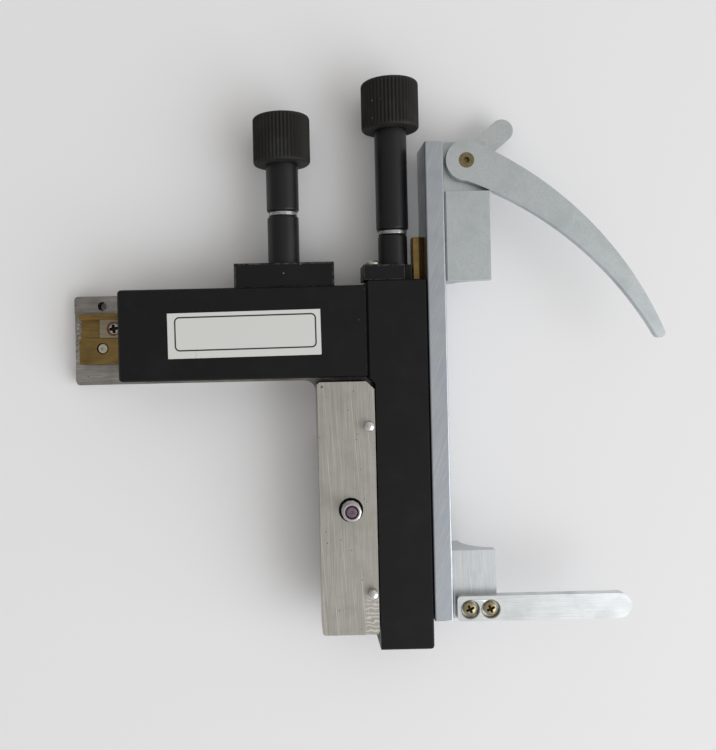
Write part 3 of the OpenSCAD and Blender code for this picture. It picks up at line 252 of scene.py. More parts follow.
def black_coat(name, base, rough, dust=0.06, wear=0.5, scuff=0.3, gloss=0.3, fine=0.12):
    """Black anodised alloy or oxide: a satin dye layer with dust, scuffs and worn edges.

    dust is the share of 0.9 mm cells with a speck, wear how much of the broken edges is
    rubbed to bare metal, scuff how light the dull patches are, gloss how strongly the
    dye layer mirrors, and fine the size of the blasted grain in millimetres.
    """
    material, tree, shader, place = new_material(name)

    # dull patches, 9 mm across, broken by a finer noise
    cloud = add(tree, "ShaderNodeTexNoise", {
        "Vector": place, "Scale": 1 / (9 * MM), "Detail": 6.0, "Roughness": 0.7,
    }).outputs["Fac"]
    dull = add(tree, "ShaderNodeMapRange", {
        "Value": cloud, "From Min": 0.5, "From Max": 0.75, "To Max": scuff,
    }).outputs[0]
    body = add(tree, "ShaderNodeMix", {
        0: dull, 6: linear(base), 7: linear("#4A4C4E"),
    }, data_type="RGBA").outputs[2]

    # dust specks 0.14 to 0.36 mm across, in a share of the 0.9 mm cells
    cell = add(tree, "ShaderNodeTexVoronoi", {"Vector": place, "Scale": 1 / (0.9 * MM)})
    speck = add(tree, "ShaderNodeMapRange", {
        "Value": cell.outputs["Distance"], "From Min": 0.2, "From Max": 0.08,
    }).outputs[0]
    few = add(tree, "ShaderNodeMapRange", {
        "Value": cell.outputs["Color"], "From Min": 1.0 - dust, "From Max": 1.02 - dust,
    }).outputs[0]
    specks = add(tree, "ShaderNodeMath", {0: speck, 1: few}, operation="MULTIPLY").outputs[0]
    body = add(tree, "ShaderNodeMix", {
        0: specks, 6: body, 7: linear("#8D8B85"),
    }, data_type="RGBA").outputs[2]

    # the edges' dye is rubbed through in short runs
    edge = add(tree, "ShaderNodeAttribute", attribute_name="edge").outputs["Fac"]
    runs = add(tree, "ShaderNodeTexNoise", {
        "Vector": place, "Scale": 1 / (0.8 * MM), "Detail": 4.0, "Roughness": 0.7,
    }).outputs["Fac"]
    runs_clear = add(tree, "ShaderNodeMapRange", {
        "Value": runs, "From Min": 0.72 - 0.4 * wear, "From Max": 0.82 - 0.4 * wear,
    }).outputs[0]
    worn = add(tree, "ShaderNodeMath", {0: edge, 1: runs_clear}, operation="MULTIPLY").outputs[0]
    body = add(tree, "ShaderNodeMix", {
        0: worn, 6: body, 7: linear("#A9A8A3"),
    }, data_type="RGBA").outputs[2]

    blasted = add(tree, "ShaderNodeTexNoise", {
        "Vector": place, "Scale": 1 / (fine * MM), "Detail": 3.0, "Roughness": 0.6,
    }).outputs["Fac"]
    bump = add(tree, "ShaderNodeBump", {"Height": blasted, "Strength": 0.6, "Distance": 0.01 * MM})
    rough_map = add(tree, "ShaderNodeMapRange", {
        "Value": cloud, "From Min": 0.35, "From Max": 0.7,
        "To Min": rough - 0.05, "To Max": rough + 0.12,
    }).outputs[0]
    fill(tree, shader, {
        "Specular IOR Level": gloss, "Base Color": body, "Roughness": rough_map,
        "Normal": bump.outputs[0],
    })
    return material


def plated(name, tone, shade, rough, grime=0.35, size=0.5):
    """Plated or polished small hardware: grime of that amount, in drifts of size millimetres."""
    material, tree, shader, place = new_material(name)
    cloud = add(tree, "ShaderNodeTexNoise", {
        "Vector": place, "Scale": 1 / (size * MM), "Detail": 5.0, "Roughness": 0.65,
    }).outputs["Fac"]
    amount = add(tree, "ShaderNodeMapRange", {
        "Value": cloud, "From Min": 0.4, "From Max": 0.72, "To Max": grime,
    }).outputs[0]
    body = add(tree, "ShaderNodeMix", {
        0: amount, 6: linear(tone), 7: linear(shade),
    }, data_type="RGBA").outputs[2]
    rough_map = add(tree, "ShaderNodeMapRange", {
        "Value": cloud, "From Min": 0.3, "From Max": 0.7, "To Min": rough, "To Max": rough + 0.15,
    }).outputs[0]
    bump = add(tree, "ShaderNodeBump", {"Height": cloud, "Strength": 0.5, "Distance": 0.01 * MM})
    fill(tree, shader, {
        "Metallic": 1.0, "Base Color": body, "Roughness": rough_map, "Normal": bump.outputs[0],
    })
    return material


# milled aluminium, as cut: fine rows along the arm, with pinholes where the tool tore it
milled_arm = worked_metal(
    "milled_aluminium", "#7E7C79", "#A9A7A3", (6, 0.16, 0.16), 0.42, pits=0.16,
    stain="#6A6761", depth=0.02)
# the same, torn by a blunt tool: chips and black pits
torn_rim = worked_metal(
    "torn_aluminium", "#5A5853", "#C4C2BB", (0.5, 0.3, 0.3), 0.38, pits=0.85,
    stain="#3A3834", depth=0.05)
# filed and lapped aluminium: warm grey, long shallow scratches along the leg
filed_leg = worked_metal(
    "filed_aluminium", "#9D9B96", "#BFBDB7", (14, 0.22, 0.22), 0.4, turn=90, shine=0.6, pits=0.14,
    stain="#959288", depth=0.016, chatter=(2.2, -17.0))
# satin chrome on steel: bluish, with slanting linishing marks
bar_satin = worked_metal(
    "satin_chromed_bar", "#A1A8AE", "#BBC0C6", (9, 0.14, 0.14), 0.36, turn=68, shine=0.3,
    pits=0.015, stain="#9AA0AC", depth=0.006, rubbed_and_highlit_edge="#A4AAB0")
# blasted and chromed alloy: an even grey with no direction
arm_satin = worked_metal(
    "blasted_chrome", "#B2BABC", "#C5CBCD", (0.3, 0.3, 0.3), 0.42, shine=0.05, pits=0.012,
    stain="#A4ABAC", depth=0.006)
# the same alloy drawn over a belt, along the slide bar
arm_brushed = worked_metal(
    "belt_brushed_chrome", "#B8BEC2", "#D8DCDF", (7, 0.16, 0.16), 0.36, turn=90, shine=0.4,
    pits=0.01, stain="#B4BABB", depth=0.006)
# brushed chromed brass: the brightest piece
finger_bright = worked_metal(
    "brushed_chrome", "#C4C9CB", "#DFE2E3", (5, 0.2, 0.2), 0.34, shine=0.25, pits=0.012,
    stain="#ACB0B2", depth=0.005)
# free-cutting brass gone olive with handling
brass_old = worked_metal(
    "tarnished_brass", "#77613B", "#90784A", (3, 0.2, 0.2), 0.4, shine=0.1, pits=0.02,
    stain="#574829", depth=0.01, rubbed_and_highlit_edge="#B9964E")
black_housing = black_coat(
    "black_anodised_housing", "#0D0E10", 0.46, dust=0.07, wear=0.7, scuff=0.06, gloss=0.2)
black_sleeve = black_coat(
    "black_anodised_sleeve", "#0E0F11", 0.36, dust=0.02, wear=0.1, scuff=0.05, gloss=0.35)
black_knob = black_coat(
    "dusty_black_knob", "#1C1B18", 0.6, dust=0.1, wear=0.3, scuff=0.3, gloss=0.25, fine=0.3)
worn_silver = plated("worn_bright_ring", "#B9BCBA", "#5B5C5C", 0.35, 0.75, 0.7)
zinc = plated("bright_zinc", "#C4C2C4", "#8A858E", 0.26, 0.5)
stud_end = plated("purple_tinged_zinc", "#7F6C78", "#4B3E49", 0.4, 0.6, 0.4)
polished_steel = plated("polished_steel", "#DADADA", "#8F8F8F", 0.08, 0.3)
yellow_zinc = plated("yellow_zinc", "#A79C78", "#5E5038", 0.26, 0.6, 0.6)
nickel = plated("nickel_silver", "#BDBCAF", "#7C7968", 0.3, 0.45)
# the rack is of the same alloy, gone dull and olive with oil
oiled_rack = worked_metal(
    "oiled_nickel_silver", "#837C68", "#9C957F", (2.5, 0.2, 0.2), 0.4, shine=0.15, pits=0.03,
    stain="#665F4C", depth=0.01, rubbed_and_highlit_edge="#A79E86")
bronze = plated("bronze_pin", "#85795C", "#4A4030", 0.34, 0.6, 0.5)
black_oxide = black_coat("black_oxide_screw", "#141414", 0.4, dust=0.05, wear=0.3)
turned_brass = plated("turned_brass", "#C9A85A", "#8E7338", 0.25, 0.4)
# painted shade: screw slots and the spare hole's walls are painted near black for the shade inside
# them
slot_and_hole_shade = black_coat("painted_slot_and_hole_shade", "#1C150D", 0.5, dust=0.05, wear=0.0, scuff=0.2)
spring_steel = plated("spring_steel", "#A5A29C", "#5E5B56", 0.25, 0.5)


def varnish_finish():
    """Red thread-locking varnish: glossy, brownish where it is thin."""
    material, tree, shader, place = new_material("red_varnish")
    thin = add(tree, "ShaderNodeTexNoise", {
        "Vector": place, "Scale": 1 / (0.5 * MM), "Detail": 3.0,
    }).outputs["Fac"]
    body = add(tree, "ShaderNodeMix", {
        0: thin, 6: linear("#96463A"), 7: linear("#6A3A2A"),
    }, data_type="RGBA").outputs[2]
    fill(tree, shader, {"Roughness": 0.25, "Base Color": body})
    return material


red_varnish = varnish_finish()


def label_finish():
    """Matt white film with one thin black printed border, and a smudge of dirt at its foot."""
    material, tree, shader, place = new_material("white_label_film")
    low, high = box_of("label")
    middle = (low + high) / 2
    # the border: a rounded rectangle 28.7 x 6.76 mm, a little off the label's middle and turned
    half, corner, line, soft = Vector((14.35, 3.38, 0)), 0.9, 0.3, 0.03
    off_middle, border_turn = Vector((0.25, 0.35, 0)), math.radians(0.5)
    at = add(tree, "ShaderNodeMapping", {
        "Vector": place, "Location": (middle + off_middle) * MM,
        "Rotation": (0, 0, border_turn), "Scale": (MM, MM, MM),
    }, vector_type="TEXTURE").outputs[0]
    folded = add(tree, "ShaderNodeVectorMath", {0: at}, operation="ABSOLUTE").outputs[0]
    past = add(tree, "ShaderNodeVectorMath", {
        0: folded, 1: (half.x - corner, half.y - corner, 1000),
    }, operation="SUBTRACT").outputs[0]
    beyond = add(tree, "ShaderNodeVectorMath", {
        0: past, 1: (0, 0, 0),
    }, operation="MAXIMUM").outputs[0]
    outside = add(tree, "ShaderNodeVectorMath", {0: beyond}, operation="LENGTH").outputs["Value"]
    parts = add(tree, "ShaderNodeSeparateXYZ", {0: past})
    larger = add(tree, "ShaderNodeMath", {
        0: parts.outputs[0], 1: parts.outputs[1],
    }, operation="MAXIMUM").outputs[0]
    inside = add(tree, "ShaderNodeMath", {0: larger, 1: 0.0}, operation="MINIMUM").outputs[0]
    reach = add(tree, "ShaderNodeMath", {0: outside, 1: inside}, operation="ADD").outputs[0]
    away = add(tree, "ShaderNodeMath", {0: reach, 1: corner}, operation="SUBTRACT").outputs[0]
    size = add(tree, "ShaderNodeMath", {0: away}, operation="ABSOLUTE").outputs[0]
    ink = add(tree, "ShaderNodeMapRange", {
        "Value": size, "From Min": line / 2 + soft, "From Max": line / 2 - soft,
    }).outputs[0]
    grime = add(tree, "ShaderNodeTexNoise", {
        "Vector": place, "Scale": 1 / (1.6 * MM), "Detail": 8.0, "Roughness": 0.75,
    }).outputs["Fac"]
    spots = add(tree, "ShaderNodeMapRange", {
        "Value": grime, "From Min": 0.58, "From Max": 0.75, "To Max": 0.7,
    }).outputs[0]
    split = add(tree, "ShaderNodeSeparateXYZ", {0: at})
    foot = add(tree, "ShaderNodeMapRange", {
        "Value": split.outputs[1], "From Min": -1.5, "From Max": -4.0,
    }).outputs[0]
    left = add(tree, "ShaderNodeMapRange", {
        "Value": split.outputs[0], "From Min": 2.0, "From Max": -9.0,
    }).outputs[0]
    there = add(tree, "ShaderNodeMath", {0: foot, 1: left}, operation="MULTIPLY").outputs[0]
    dirt = add(tree, "ShaderNodeMath", {0: spots, 1: there}, operation="MULTIPLY").outputs[0]
    paper = add(tree, "ShaderNodeMix", {
        0: dirt, 6: linear("#D2D3D1"), 7: linear("#8F8C80"),
    }, data_type="RGBA").outputs[2]
    printed = add(tree, "ShaderNodeMix", {
        0: ink, 6: paper, 7: linear("#151515"),
    }, data_type="RGBA").outputs[2]
    bump = add(tree, "ShaderNodeBump", {"Height": grime, "Strength": 0.2, "Distance": 0.01 * MM})
    fill(tree, shader, {"Roughness": 0.42, "Base Color": printed, "Normal": bump.outputs[0]})
    return material


label_film = label_finish()


# ---- Pieces that keep a CAD node's shape ----


def extra(mesh, name, node):
    """A piece of its own that rides with a node's body."""
    piece = placed(name, mesh)
    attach(piece, BODY_OF[node])
    return piece


def piece_from(mesh, name, node):
    """A finished mesh as a piece that rides with a node's body and stands for that node."""
    piece = extra(mesh, name, node)
    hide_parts(node)


def dressed(node, materials, broken=0.12, steps=2, least=0.45, sharp=32, pick=None, rub=None):
    """A piece of a CAD node's shape, with its long sharp edges broken, as one plain mesh.

    broken is the width of the broken edge in millimetres, least the shortest edge that
    gets one, sharp the turn in degrees that counts as an edge, and pick chooses each
    face's material from its middle and normal. rub gives how far the broken edge is
    worn at a place, from 0 to 1.
    """
    work = bmesh.new()
    work.from_mesh(frame["nodes"][node].data)
    bmesh.ops.remove_doubles(work, verts=work.verts, dist=1e-7)
    bmesh.ops.dissolve_limit(
        work, angle_limit=math.radians(0.5), verts=work.verts, edges=work.edges)
    weights = work.edges.layers.float.new("bevel_weight_edge")
    for line in work.edges:
        turns = len(line.link_faces) == 2 and line.calc_face_angle(0) > math.radians(sharp)
        if turns and line.calc_length() > least * MM:
            line[weights] = 1.0
    mesh = mesh_of(work, node + "_dressed")
    mesh.shade_smooth()
    mesh.set_sharp_from_angle(angle=math.radians(sharp))
    raw = placed(node + "_raw", mesh)
    # an empty slot for the faces and one that marks the broken edges
    mesh.materials.append(None)
    mesh.materials.append(None)
    bevel = raw.modifiers.new("broken", "BEVEL")
    bevel.width = broken * MM
    bevel.segments = steps
    bevel.limit_method = "WEIGHT"
    bevel.material = 1
    bevel.use_clamp_overlap = True
    # the flat faces keep their own shading, so the broken edges don't bend it
    flats = raw.modifiers.new("flats", "WEIGHTED_NORMAL")
    flats.keep_sharp = True
    flats.weight = 100
    final = baked(raw)
    edge = final.attributes.new("edge", "FLOAT", "FACE")
    edge.data.foreach_set("value", [
        (rub(p.center / MM) if rub else 1.0) * (p.material_index == 1) for p in final.polygons])
    final.materials.clear()
    for material in materials:
        final.materials.append(material)
    for face in final.polygons:
        face.material_index = pick(face.center / MM, face.normal) if pick else 0
    piece_from(final, node + "_dressed", node)


def plain(node, material):
    """A CAD node that stays as it is, with its finish."""
    part = frame["nodes"][node]
    part.data.materials.clear()
    part.data.materials.append(material)


# ---- Geometry Nodes trees ----


def new_tree(name, sizes):
    """An empty Geometry Nodes tree with those named inputs, and their sockets by name."""
    tree = bpy.data.node_groups.new(name, "GeometryNodeTree")
    for label, kind in sizes.items():
        tree.interface.new_socket(name=label, in_out="INPUT", socket_type="NodeSocket" + kind)
    tree.interface.new_socket(name="Geometry", in_out="OUTPUT", socket_type="NodeSocketGeometry")
    return tree, add(tree, "NodeGroupInput").outputs


def finish_tree(tree, shape, material, slot_material=None):
    """Ends a tree: instances become real and get the material, and their slots another."""
    real = add(tree, "GeometryNodeRealizeInstances", {"Geometry": shape}).outputs[0]
    clad = add(tree, "GeometryNodeSetMaterial", {"Geometry": real, "Material": material}).outputs[0]
    if slot_material:
        slotted = add(tree, "GeometryNodeInputNamedAttribute", {
            "Name": "slot",
        }).outputs["Attribute"]
        chosen = add(tree, "ShaderNodeMath", {
            0: slotted, 1: 0.3,
        }, operation="GREATER_THAN").outputs[0]
        clad = add(tree, "GeometryNodeSetMaterial", {
            "Geometry": clad, "Selection": chosen, "Material": slot_material,
        }).outputs[0]
    add(tree, "NodeGroupOutput", {"Geometry": clad})


def turned_tree():
    """A turned part along Z about its middle, with rounded ends and grooves round its side.

    Grooves is how many there are round it, and Rise how many a point on the side passes
    in one metre along it: 0 for straight knurls, and 1 / pitch for a thread. The grooves
    fade out over Plain end. Dish is the radius of a hollow in the upper end.
    """
    tree, size = new_tree("turned_part", {
        "Radius": "Float", "Length": "Float", "Corner": "Float",
        "Around": "Int", "Along": "Int", "Rings": "Int",
        "Grooves": "Float", "Rise": "Float", "Groove depth": "Float", "Plain end": "Float",
        "Dish": "Float", "Dish depth": "Float",
        "Place": "Vector", "Turn": "Vector", "Material": "Material",
    })
    blank = add(tree, "GeometryNodeMeshCylinder", {
        "Vertices": size["Around"], "Side Segments": size["Along"], "Fill Segments": size["Rings"],
        "Radius": size["Radius"], "Depth": size["Length"],
    }, fill_type="TRIANGLE_FAN").outputs["Mesh"]
    at = add(tree, "GeometryNodeInputPosition").outputs[0]
    across, deep, up = add(tree, "ShaderNodeSeparateXYZ", {0: at}).outputs
    flat = add(tree, "ShaderNodeVectorMath", {0: at, 1: (1, 1, 0)}, operation="MULTIPLY").outputs[0]
    out = add(tree, "ShaderNodeVectorMath", {0: flat}, operation="LENGTH").outputs["Value"]
    out_way = add(tree, "ShaderNodeVectorMath", {0: flat}, operation="NORMALIZE").outputs[0]

    # rounded ends: each point goes to the corner's radius from the core inside it
    half = add(tree, "ShaderNodeMath", {0: size["Length"], 1: 0.5}, operation="MULTIPLY").outputs[0]
    core_out = add(tree, "ShaderNodeMath", {
        0: size["Radius"], 1: size["Corner"],
    }, operation="SUBTRACT").outputs[0]
    core_up = add(tree, "ShaderNodeMath", {
        0: half, 1: size["Corner"],
    }, operation="SUBTRACT").outputs[0]
    core_down = add(tree, "ShaderNodeMath", {0: core_up, 1: -1.0}, operation="MULTIPLY").outputs[0]
    by_out = add(tree, "ShaderNodeMath", {0: out, 1: core_out}, operation="MINIMUM").outputs[0]
    under = add(tree, "ShaderNodeMath", {0: up, 1: core_up}, operation="MINIMUM").outputs[0]
    by_up = add(tree, "ShaderNodeMath", {0: under, 1: core_down}, operation="MAXIMUM").outputs[0]
    core = add(tree, "ShaderNodeCombineXYZ", {0: by_out, 2: by_up}).outputs[0]
    here = add(tree, "ShaderNodeCombineXYZ", {0: out, 2: up}).outputs[0]
    step = add(tree, "ShaderNodeVectorMath", {0: here, 1: core}, operation="SUBTRACT").outputs[0]
    way = add(tree, "ShaderNodeVectorMath", {0: step}, operation="NORMALIZE").outputs[0]
    arc = add(tree, "ShaderNodeVectorMath", {
        0: way, "Scale": size["Corner"],
    }, operation="SCALE").outputs[0]
    rounded = add(tree, "ShaderNodeVectorMath", {0: core, 1: arc}, operation="ADD").outputs[0]
    rounded_parts = add(tree, "ShaderNodeSeparateXYZ", {0: rounded}).outputs

    # V grooves round the side
    angle = add(tree, "ShaderNodeMath", {0: deep, 1: across}, operation="ARCTAN2").outputs[0]
    turns = add(tree, "ShaderNodeMath", {0: angle, 1: 2 * math.pi}, operation="DIVIDE").outputs[0]
    ring_phase = add(tree, "ShaderNodeMath", {
        0: turns, 1: size["Grooves"],
    }, operation="MULTIPLY").outputs[0]
    rise_phase = add(tree, "ShaderNodeMath", {
        0: up, 1: size["Rise"],
    }, operation="MULTIPLY").outputs[0]
    phase = add(tree, "ShaderNodeMath", {0: ring_phase, 1: rise_phase}, operation="ADD").outputs[0]
    groove = add(tree, "ShaderNodeMath", {0: phase, 1: 0.5}, operation="PINGPONG").outputs[0]
    from_middle = add(tree, "ShaderNodeMath", {0: up}, operation="ABSOLUTE").outputs[0]
    fade_from = add(tree, "ShaderNodeMath", {
        0: half, 1: size["Plain end"],
    }, operation="SUBTRACT").outputs[0]
    fade = add(tree, "ShaderNodeMapRange", {
        "Value": from_middle, "From Min": fade_from, "From Max": half, "To Min": 2.0, "To Max": 0.0,
    }, interpolation_type="SMOOTHSTEP").outputs[0]
    on_side = add(tree, "ShaderNodeMapRange", {
        "Value": out, "From Min": core_out, "From Max": size["Radius"],
    }).outputs[0]
    side_fade = add(tree, "ShaderNodeMath", {0: fade, 1: on_side}, operation="MULTIPLY").outputs[0]
    deepest = add(tree, "ShaderNodeMath", {
        0: side_fade, 1: size["Groove depth"],
    }, operation="MULTIPLY").outputs[0]
    cut = add(tree, "ShaderNodeMath", {0: groove, 1: deepest}, operation="MULTIPLY").outputs[0]
    new_out = add(tree, "ShaderNodeMath", {
        0: rounded_parts[0], 1: cut,
    }, operation="SUBTRACT").outputs[0]

    # the hollow in the upper end
    hollow_rim = add(tree, "ShaderNodeMath", {
        0: size["Dish"], 1: 0.8,
    }, operation="MULTIPLY").outputs[0]
    hollow = add(tree, "ShaderNodeMapRange", {
        "Value": out, "From Min": hollow_rim, "From Max": size["Dish"],
        "To Min": size["Dish depth"], "To Max": 0.0,
    }).outputs[0]
    upper = add(tree, "ShaderNodeMath", {0: up, 1: 0.0}, operation="GREATER_THAN").outputs[0]
    sunk = add(tree, "ShaderNodeMath", {0: hollow, 1: upper}, operation="MULTIPLY").outputs[0]
    new_up = add(tree, "ShaderNodeMath", {
        0: rounded_parts[2], 1: sunk,
    }, operation="SUBTRACT").outputs[0]

    sideways = add(tree, "ShaderNodeVectorMath", {
        0: out_way, "Scale": new_out,
    }, operation="SCALE").outputs[0]
    lengthways = add(tree, "ShaderNodeCombineXYZ", {2: new_up}).outputs[0]
    place = add(tree, "ShaderNodeVectorMath", {
        0: sideways, 1: lengthways,
    }, operation="ADD").outputs[0]
    shaped = add(tree, "GeometryNodeSetPosition", {"Geometry": blank, "Position": place}).outputs[0]
    set_down = add(tree, "GeometryNodeTransform", {
        "Geometry": shaped, "Translation": size["Place"], "Rotation": size["Turn"],
    }).outputs[0]
    finish_tree(tree, set_down, size["Material"])
    return tree


def cross_head_tree():
    """Domed screw heads with a cross slot and a shank, in a row from Place.

    Height is the height of a head's side, below its dome.
    """
    tree, size = new_tree("cross_head_screws", {
        "Radius": "Float", "Height": "Float", "Dome": "Float",
        "Slot length": "Float", "Slot width": "Float", "Slot depth": "Float",
        "Shank radius": "Float", "Shank length": "Float", "Turn": "Vector",
        "Count": "Int", "Pitch": "Vector", "Place": "Vector",
        "Material": "Material", "Slot material": "Material",
    })
    blank = add(tree, "GeometryNodeMeshCylinder", {
        "Vertices": 96, "Side Segments": 3, "Fill Segments": 28,
        "Radius": size["Radius"], "Depth": size["Height"],
    }, fill_type="TRIANGLE_FAN").outputs["Mesh"]
    at = add(tree, "GeometryNodeInputPosition").outputs[0]
    across, deep, up = add(tree, "ShaderNodeSeparateXYZ", {0: at}).outputs
    flat = add(tree, "ShaderNodeVectorMath", {0: at, 1: (1, 1, 0)}, operation="MULTIPLY").outputs[0]
    out = add(tree, "ShaderNodeVectorMath", {0: flat}, operation="LENGTH").outputs["Value"]
    share = add(tree, "ShaderNodeMath", {0: out, 1: size["Radius"]}, operation="DIVIDE").outputs[0]
    squared = add(tree, "ShaderNodeMath", {0: share, 1: 2.5}, operation="POWER").outputs[0]
    dome = add(tree, "ShaderNodeMapRange", {
        "Value": squared, "To Min": size["Dome"], "To Max": 0.0,
    }).outputs[0]

    # the slot: two crossed arms with sloping walls
    half_long = add(tree, "ShaderNodeMath", {
        0: size["Slot length"], 1: 0.5,
    }, operation="MULTIPLY").outputs[0]
    half_wide = add(tree, "ShaderNodeMath", {
        0: size["Slot width"], 1: 0.5,
    }, operation="MULTIPLY").outputs[0]
    floor_wide = add(tree, "ShaderNodeMath", {
        0: half_wide, 1: 0.55,
    }, operation="MULTIPLY").outputs[0]
    floor_long = add(tree, "ShaderNodeMath", {
        0: half_long, 1: 0.6,
    }, operation="MULTIPLY").outputs[0]
    arms = []
    for along, aside in ((across, deep), (deep, across)):
        far = add(tree, "ShaderNodeMath", {0: along}, operation="ABSOLUTE").outputs[0]
        wide = add(tree, "ShaderNodeMath", {0: aside}, operation="ABSOLUTE").outputs[0]
        in_length = add(tree, "ShaderNodeMapRange", {
            "Value": far, "From Min": half_long, "From Max": floor_long,
        }).outputs[0]
        in_width = add(tree, "ShaderNodeMapRange", {
            "Value": wide, "From Min": half_wide, "From Max": floor_wide,
        }).outputs[0]
        arms.append(add(tree, "ShaderNodeMath", {
            0: in_length, 1: in_width,
        }, operation="MULTIPLY").outputs[0])
    slot = add(tree, "ShaderNodeMath", {0: arms[0], 1: arms[1]}, operation="MAXIMUM").outputs[0]
    sunk = add(tree, "ShaderNodeMath", {
        0: slot, 1: size["Slot depth"],
    }, operation="MULTIPLY").outputs[0]
    lift = add(tree, "ShaderNodeMath", {0: dome, 1: sunk}, operation="SUBTRACT").outputs[0]
    upper = add(tree, "ShaderNodeMath", {0: up, 1: 0.0}, operation="GREATER_THAN").outputs[0]
    top_lift = add(tree, "ShaderNodeMath", {0: lift, 1: upper}, operation="MULTIPLY").outputs[0]
    move = add(tree, "ShaderNodeCombineXYZ", {2: top_lift}).outputs[0]
    slot_top = add(tree, "ShaderNodeMath", {0: slot, 1: upper}, operation="MULTIPLY").outputs[0]
    noted = add(tree, "GeometryNodeStoreNamedAttribute", {
        "Geometry": blank, "Name": "slot", "Value": slot_top,
    }, domain="FACE").outputs[0]
    head = add(tree, "GeometryNodeSetPosition", {"Geometry": noted, "Offset": move}).outputs[0]

    rod = add(tree, "GeometryNodeMeshCylinder", {
        "Vertices": 48, "Radius": size["Shank radius"], "Depth": size["Shank length"],
    }).outputs["Mesh"]
    reach = add(tree, "ShaderNodeMath", {
        0: size["Height"], 1: size["Shank length"],
    }, operation="ADD").outputs[0]
    down = add(tree, "ShaderNodeMath", {0: reach, 1: -0.48}, operation="MULTIPLY").outputs[0]
    down_by = add(tree, "ShaderNodeCombineXYZ", {2: down}).outputs[0]
    shank = add(tree, "GeometryNodeTransform", {"Geometry": rod, "Translation": down_by}).outputs[0]
    screw = add(tree, "GeometryNodeJoinGeometry", {"Geometry": head})
    tree.links.new(shank, screw.inputs["Geometry"])

    row = add(tree, "GeometryNodeMeshLine", {
        "Count": size["Count"], "Start Location": size["Place"], "Offset": size["Pitch"],
    }).outputs["Mesh"]
    screws = add(tree, "GeometryNodeInstanceOnPoints", {
        "Points": row, "Instance": screw.outputs[0], "Rotation": size["Turn"],
    }).outputs[0]
    finish_tree(tree, screws, size["Material"], size["Slot material"])
    return tree


def graduation_tree():
    """Raised scale lines along Y from Place, reaching along X. One line in Every is longer."""
    tree, size = new_tree("graduation", {
        "Count": "Int", "Pitch": "Float", "Every": "Int", "Short": "Float", "Long": "Float",
        "Line": "Float", "Height": "Float", "Place": "Vector", "Material": "Material",
    })
    apart = add(tree, "ShaderNodeCombineXYZ", {1: size["Pitch"]}).outputs[0]
    row = add(tree, "GeometryNodeMeshLine", {
        "Count": size["Count"], "Start Location": size["Place"], "Offset": apart,
    }).outputs["Mesh"]
    index = add(tree, "GeometryNodeInputIndex").outputs[0]
    left_over = add(tree, "ShaderNodeMath", {
        0: index, 1: size["Every"],
    }, operation="MODULO").outputs[0]
    counted = add(tree, "ShaderNodeMath", {0: left_over, 1: 0.5}, operation="LESS_THAN").outputs[0]
    length = add(tree, "ShaderNodeMapRange", {
        "Value": counted, "To Min": size["Short"], "To Max": size["Long"],
    }).outputs[0]
    line_size = add(tree, "ShaderNodeCombineXYZ", {
        0: length, 1: size["Line"], 2: size["Height"],
    }).outputs[0]
    block = add(tree, "GeometryNodeMeshCube", {"Size": (1, 1, 1)}).outputs["Mesh"]
    line = add(tree, "GeometryNodeTransform", {
        "Geometry": block, "Translation": (0.5, 0, 0),
    }).outputs[0]
    lines = add(tree, "GeometryNodeInstanceOnPoints", {
        "Points": row, "Instance": line, "Scale": line_size,
    }).outputs[0]
    finish_tree(tree, lines, size["Material"])
    return tree


def grown(name, tree, settings):
    """The plain mesh that a tree makes with those settings, lengths in metres and the rest zero."""
    seed = placed(name + "_seed", bpy.data.meshes.new(name + "_seed"))
    grow = seed.modifiers.new("grow", "NODES")
    grow.node_group = tree
    for item in tree.interface.items_tree:
        if item.in_out == "INPUT" and item.name in settings:
            grow[item.identifier] = settings[item.name]
    mesh = baked(seed)
    mesh.name = name
    mesh.shade_smooth()
    mesh.set_sharp_from_angle(angle=math.radians(40))
    return mesh


def joined(name, meshes):
    """Several meshes as one, each with its own material."""
    work = bmesh.new()
    for number, mesh in enumerate(meshes):
        start = len(work.faces)
        work.from_mesh(mesh)
        work.faces.ensure_lookup_table()
        for face in work.faces[start:]:
            face.material_index = number
    final = mesh_of(work, name)
    for mesh in meshes:
        # a grown mesh can keep an empty slot before its material's
        final.materials.append(next(m for m in mesh.materials if m))
    return final


turned = turned_tree()
cross_heads = cross_head_tree()
graduation = graduation_tree()


# ---- Base, housings, bar and fingers ----

BASE_LOW = box_of("base_frame")[0]
RAIL_LOW, RAIL_HIGH = box_of("carriage_rail")
HOUSING_LOW, HOUSING_HIGH = box_of("carriage_housing")
# the arm's face lies below this height and the leg's above it
ARM_OR_LEG = RAIL_LOW.z + 1.0
# the spare hole's place, from the arm's left end and the housing's upper edge, and its reach
SPARE_HOLE = Vector((BASE_LOW.x + 6.0, HOUSING_HIGH.y - 2.7))
SPARE_HOLE_REACH = 1.1
# how far the edges that no hand reaches are rubbed
HARDLY_RUBBED = 0.15
# sleeves and collars: their rings are made of short edges
TURNED = {"least": 0.02, "sharp": 40}


def housing_rub(middle):
    """The carriage housing is worn at its right end, the end of its top edge and one corner."""
    right_end = middle.x > HOUSING_HIGH.x - 0.6
    top_edge = middle.x > HOUSING_HIGH.x - 8 and middle.y > HOUSING_HIGH.y - 0.6
    left_corner = middle.x < HOUSING_LOW.x + 1.6 and middle.y > HOUSING_HIGH.y - 1.2
    return 1.0 if right_end or top_edge or left_corner else HARDLY_RUBBED


def base_finish(middle, normal):
    """The leg is filed, the arm milled, and the spare hole's walls are painted dark as shade."""
    in_hole = (middle.xy - SPARE_HOLE).length < SPARE_HOLE_REACH and abs(normal.z) < 0.5
    return 2 if in_hole else int(middle.z < ARM_OR_LEG)


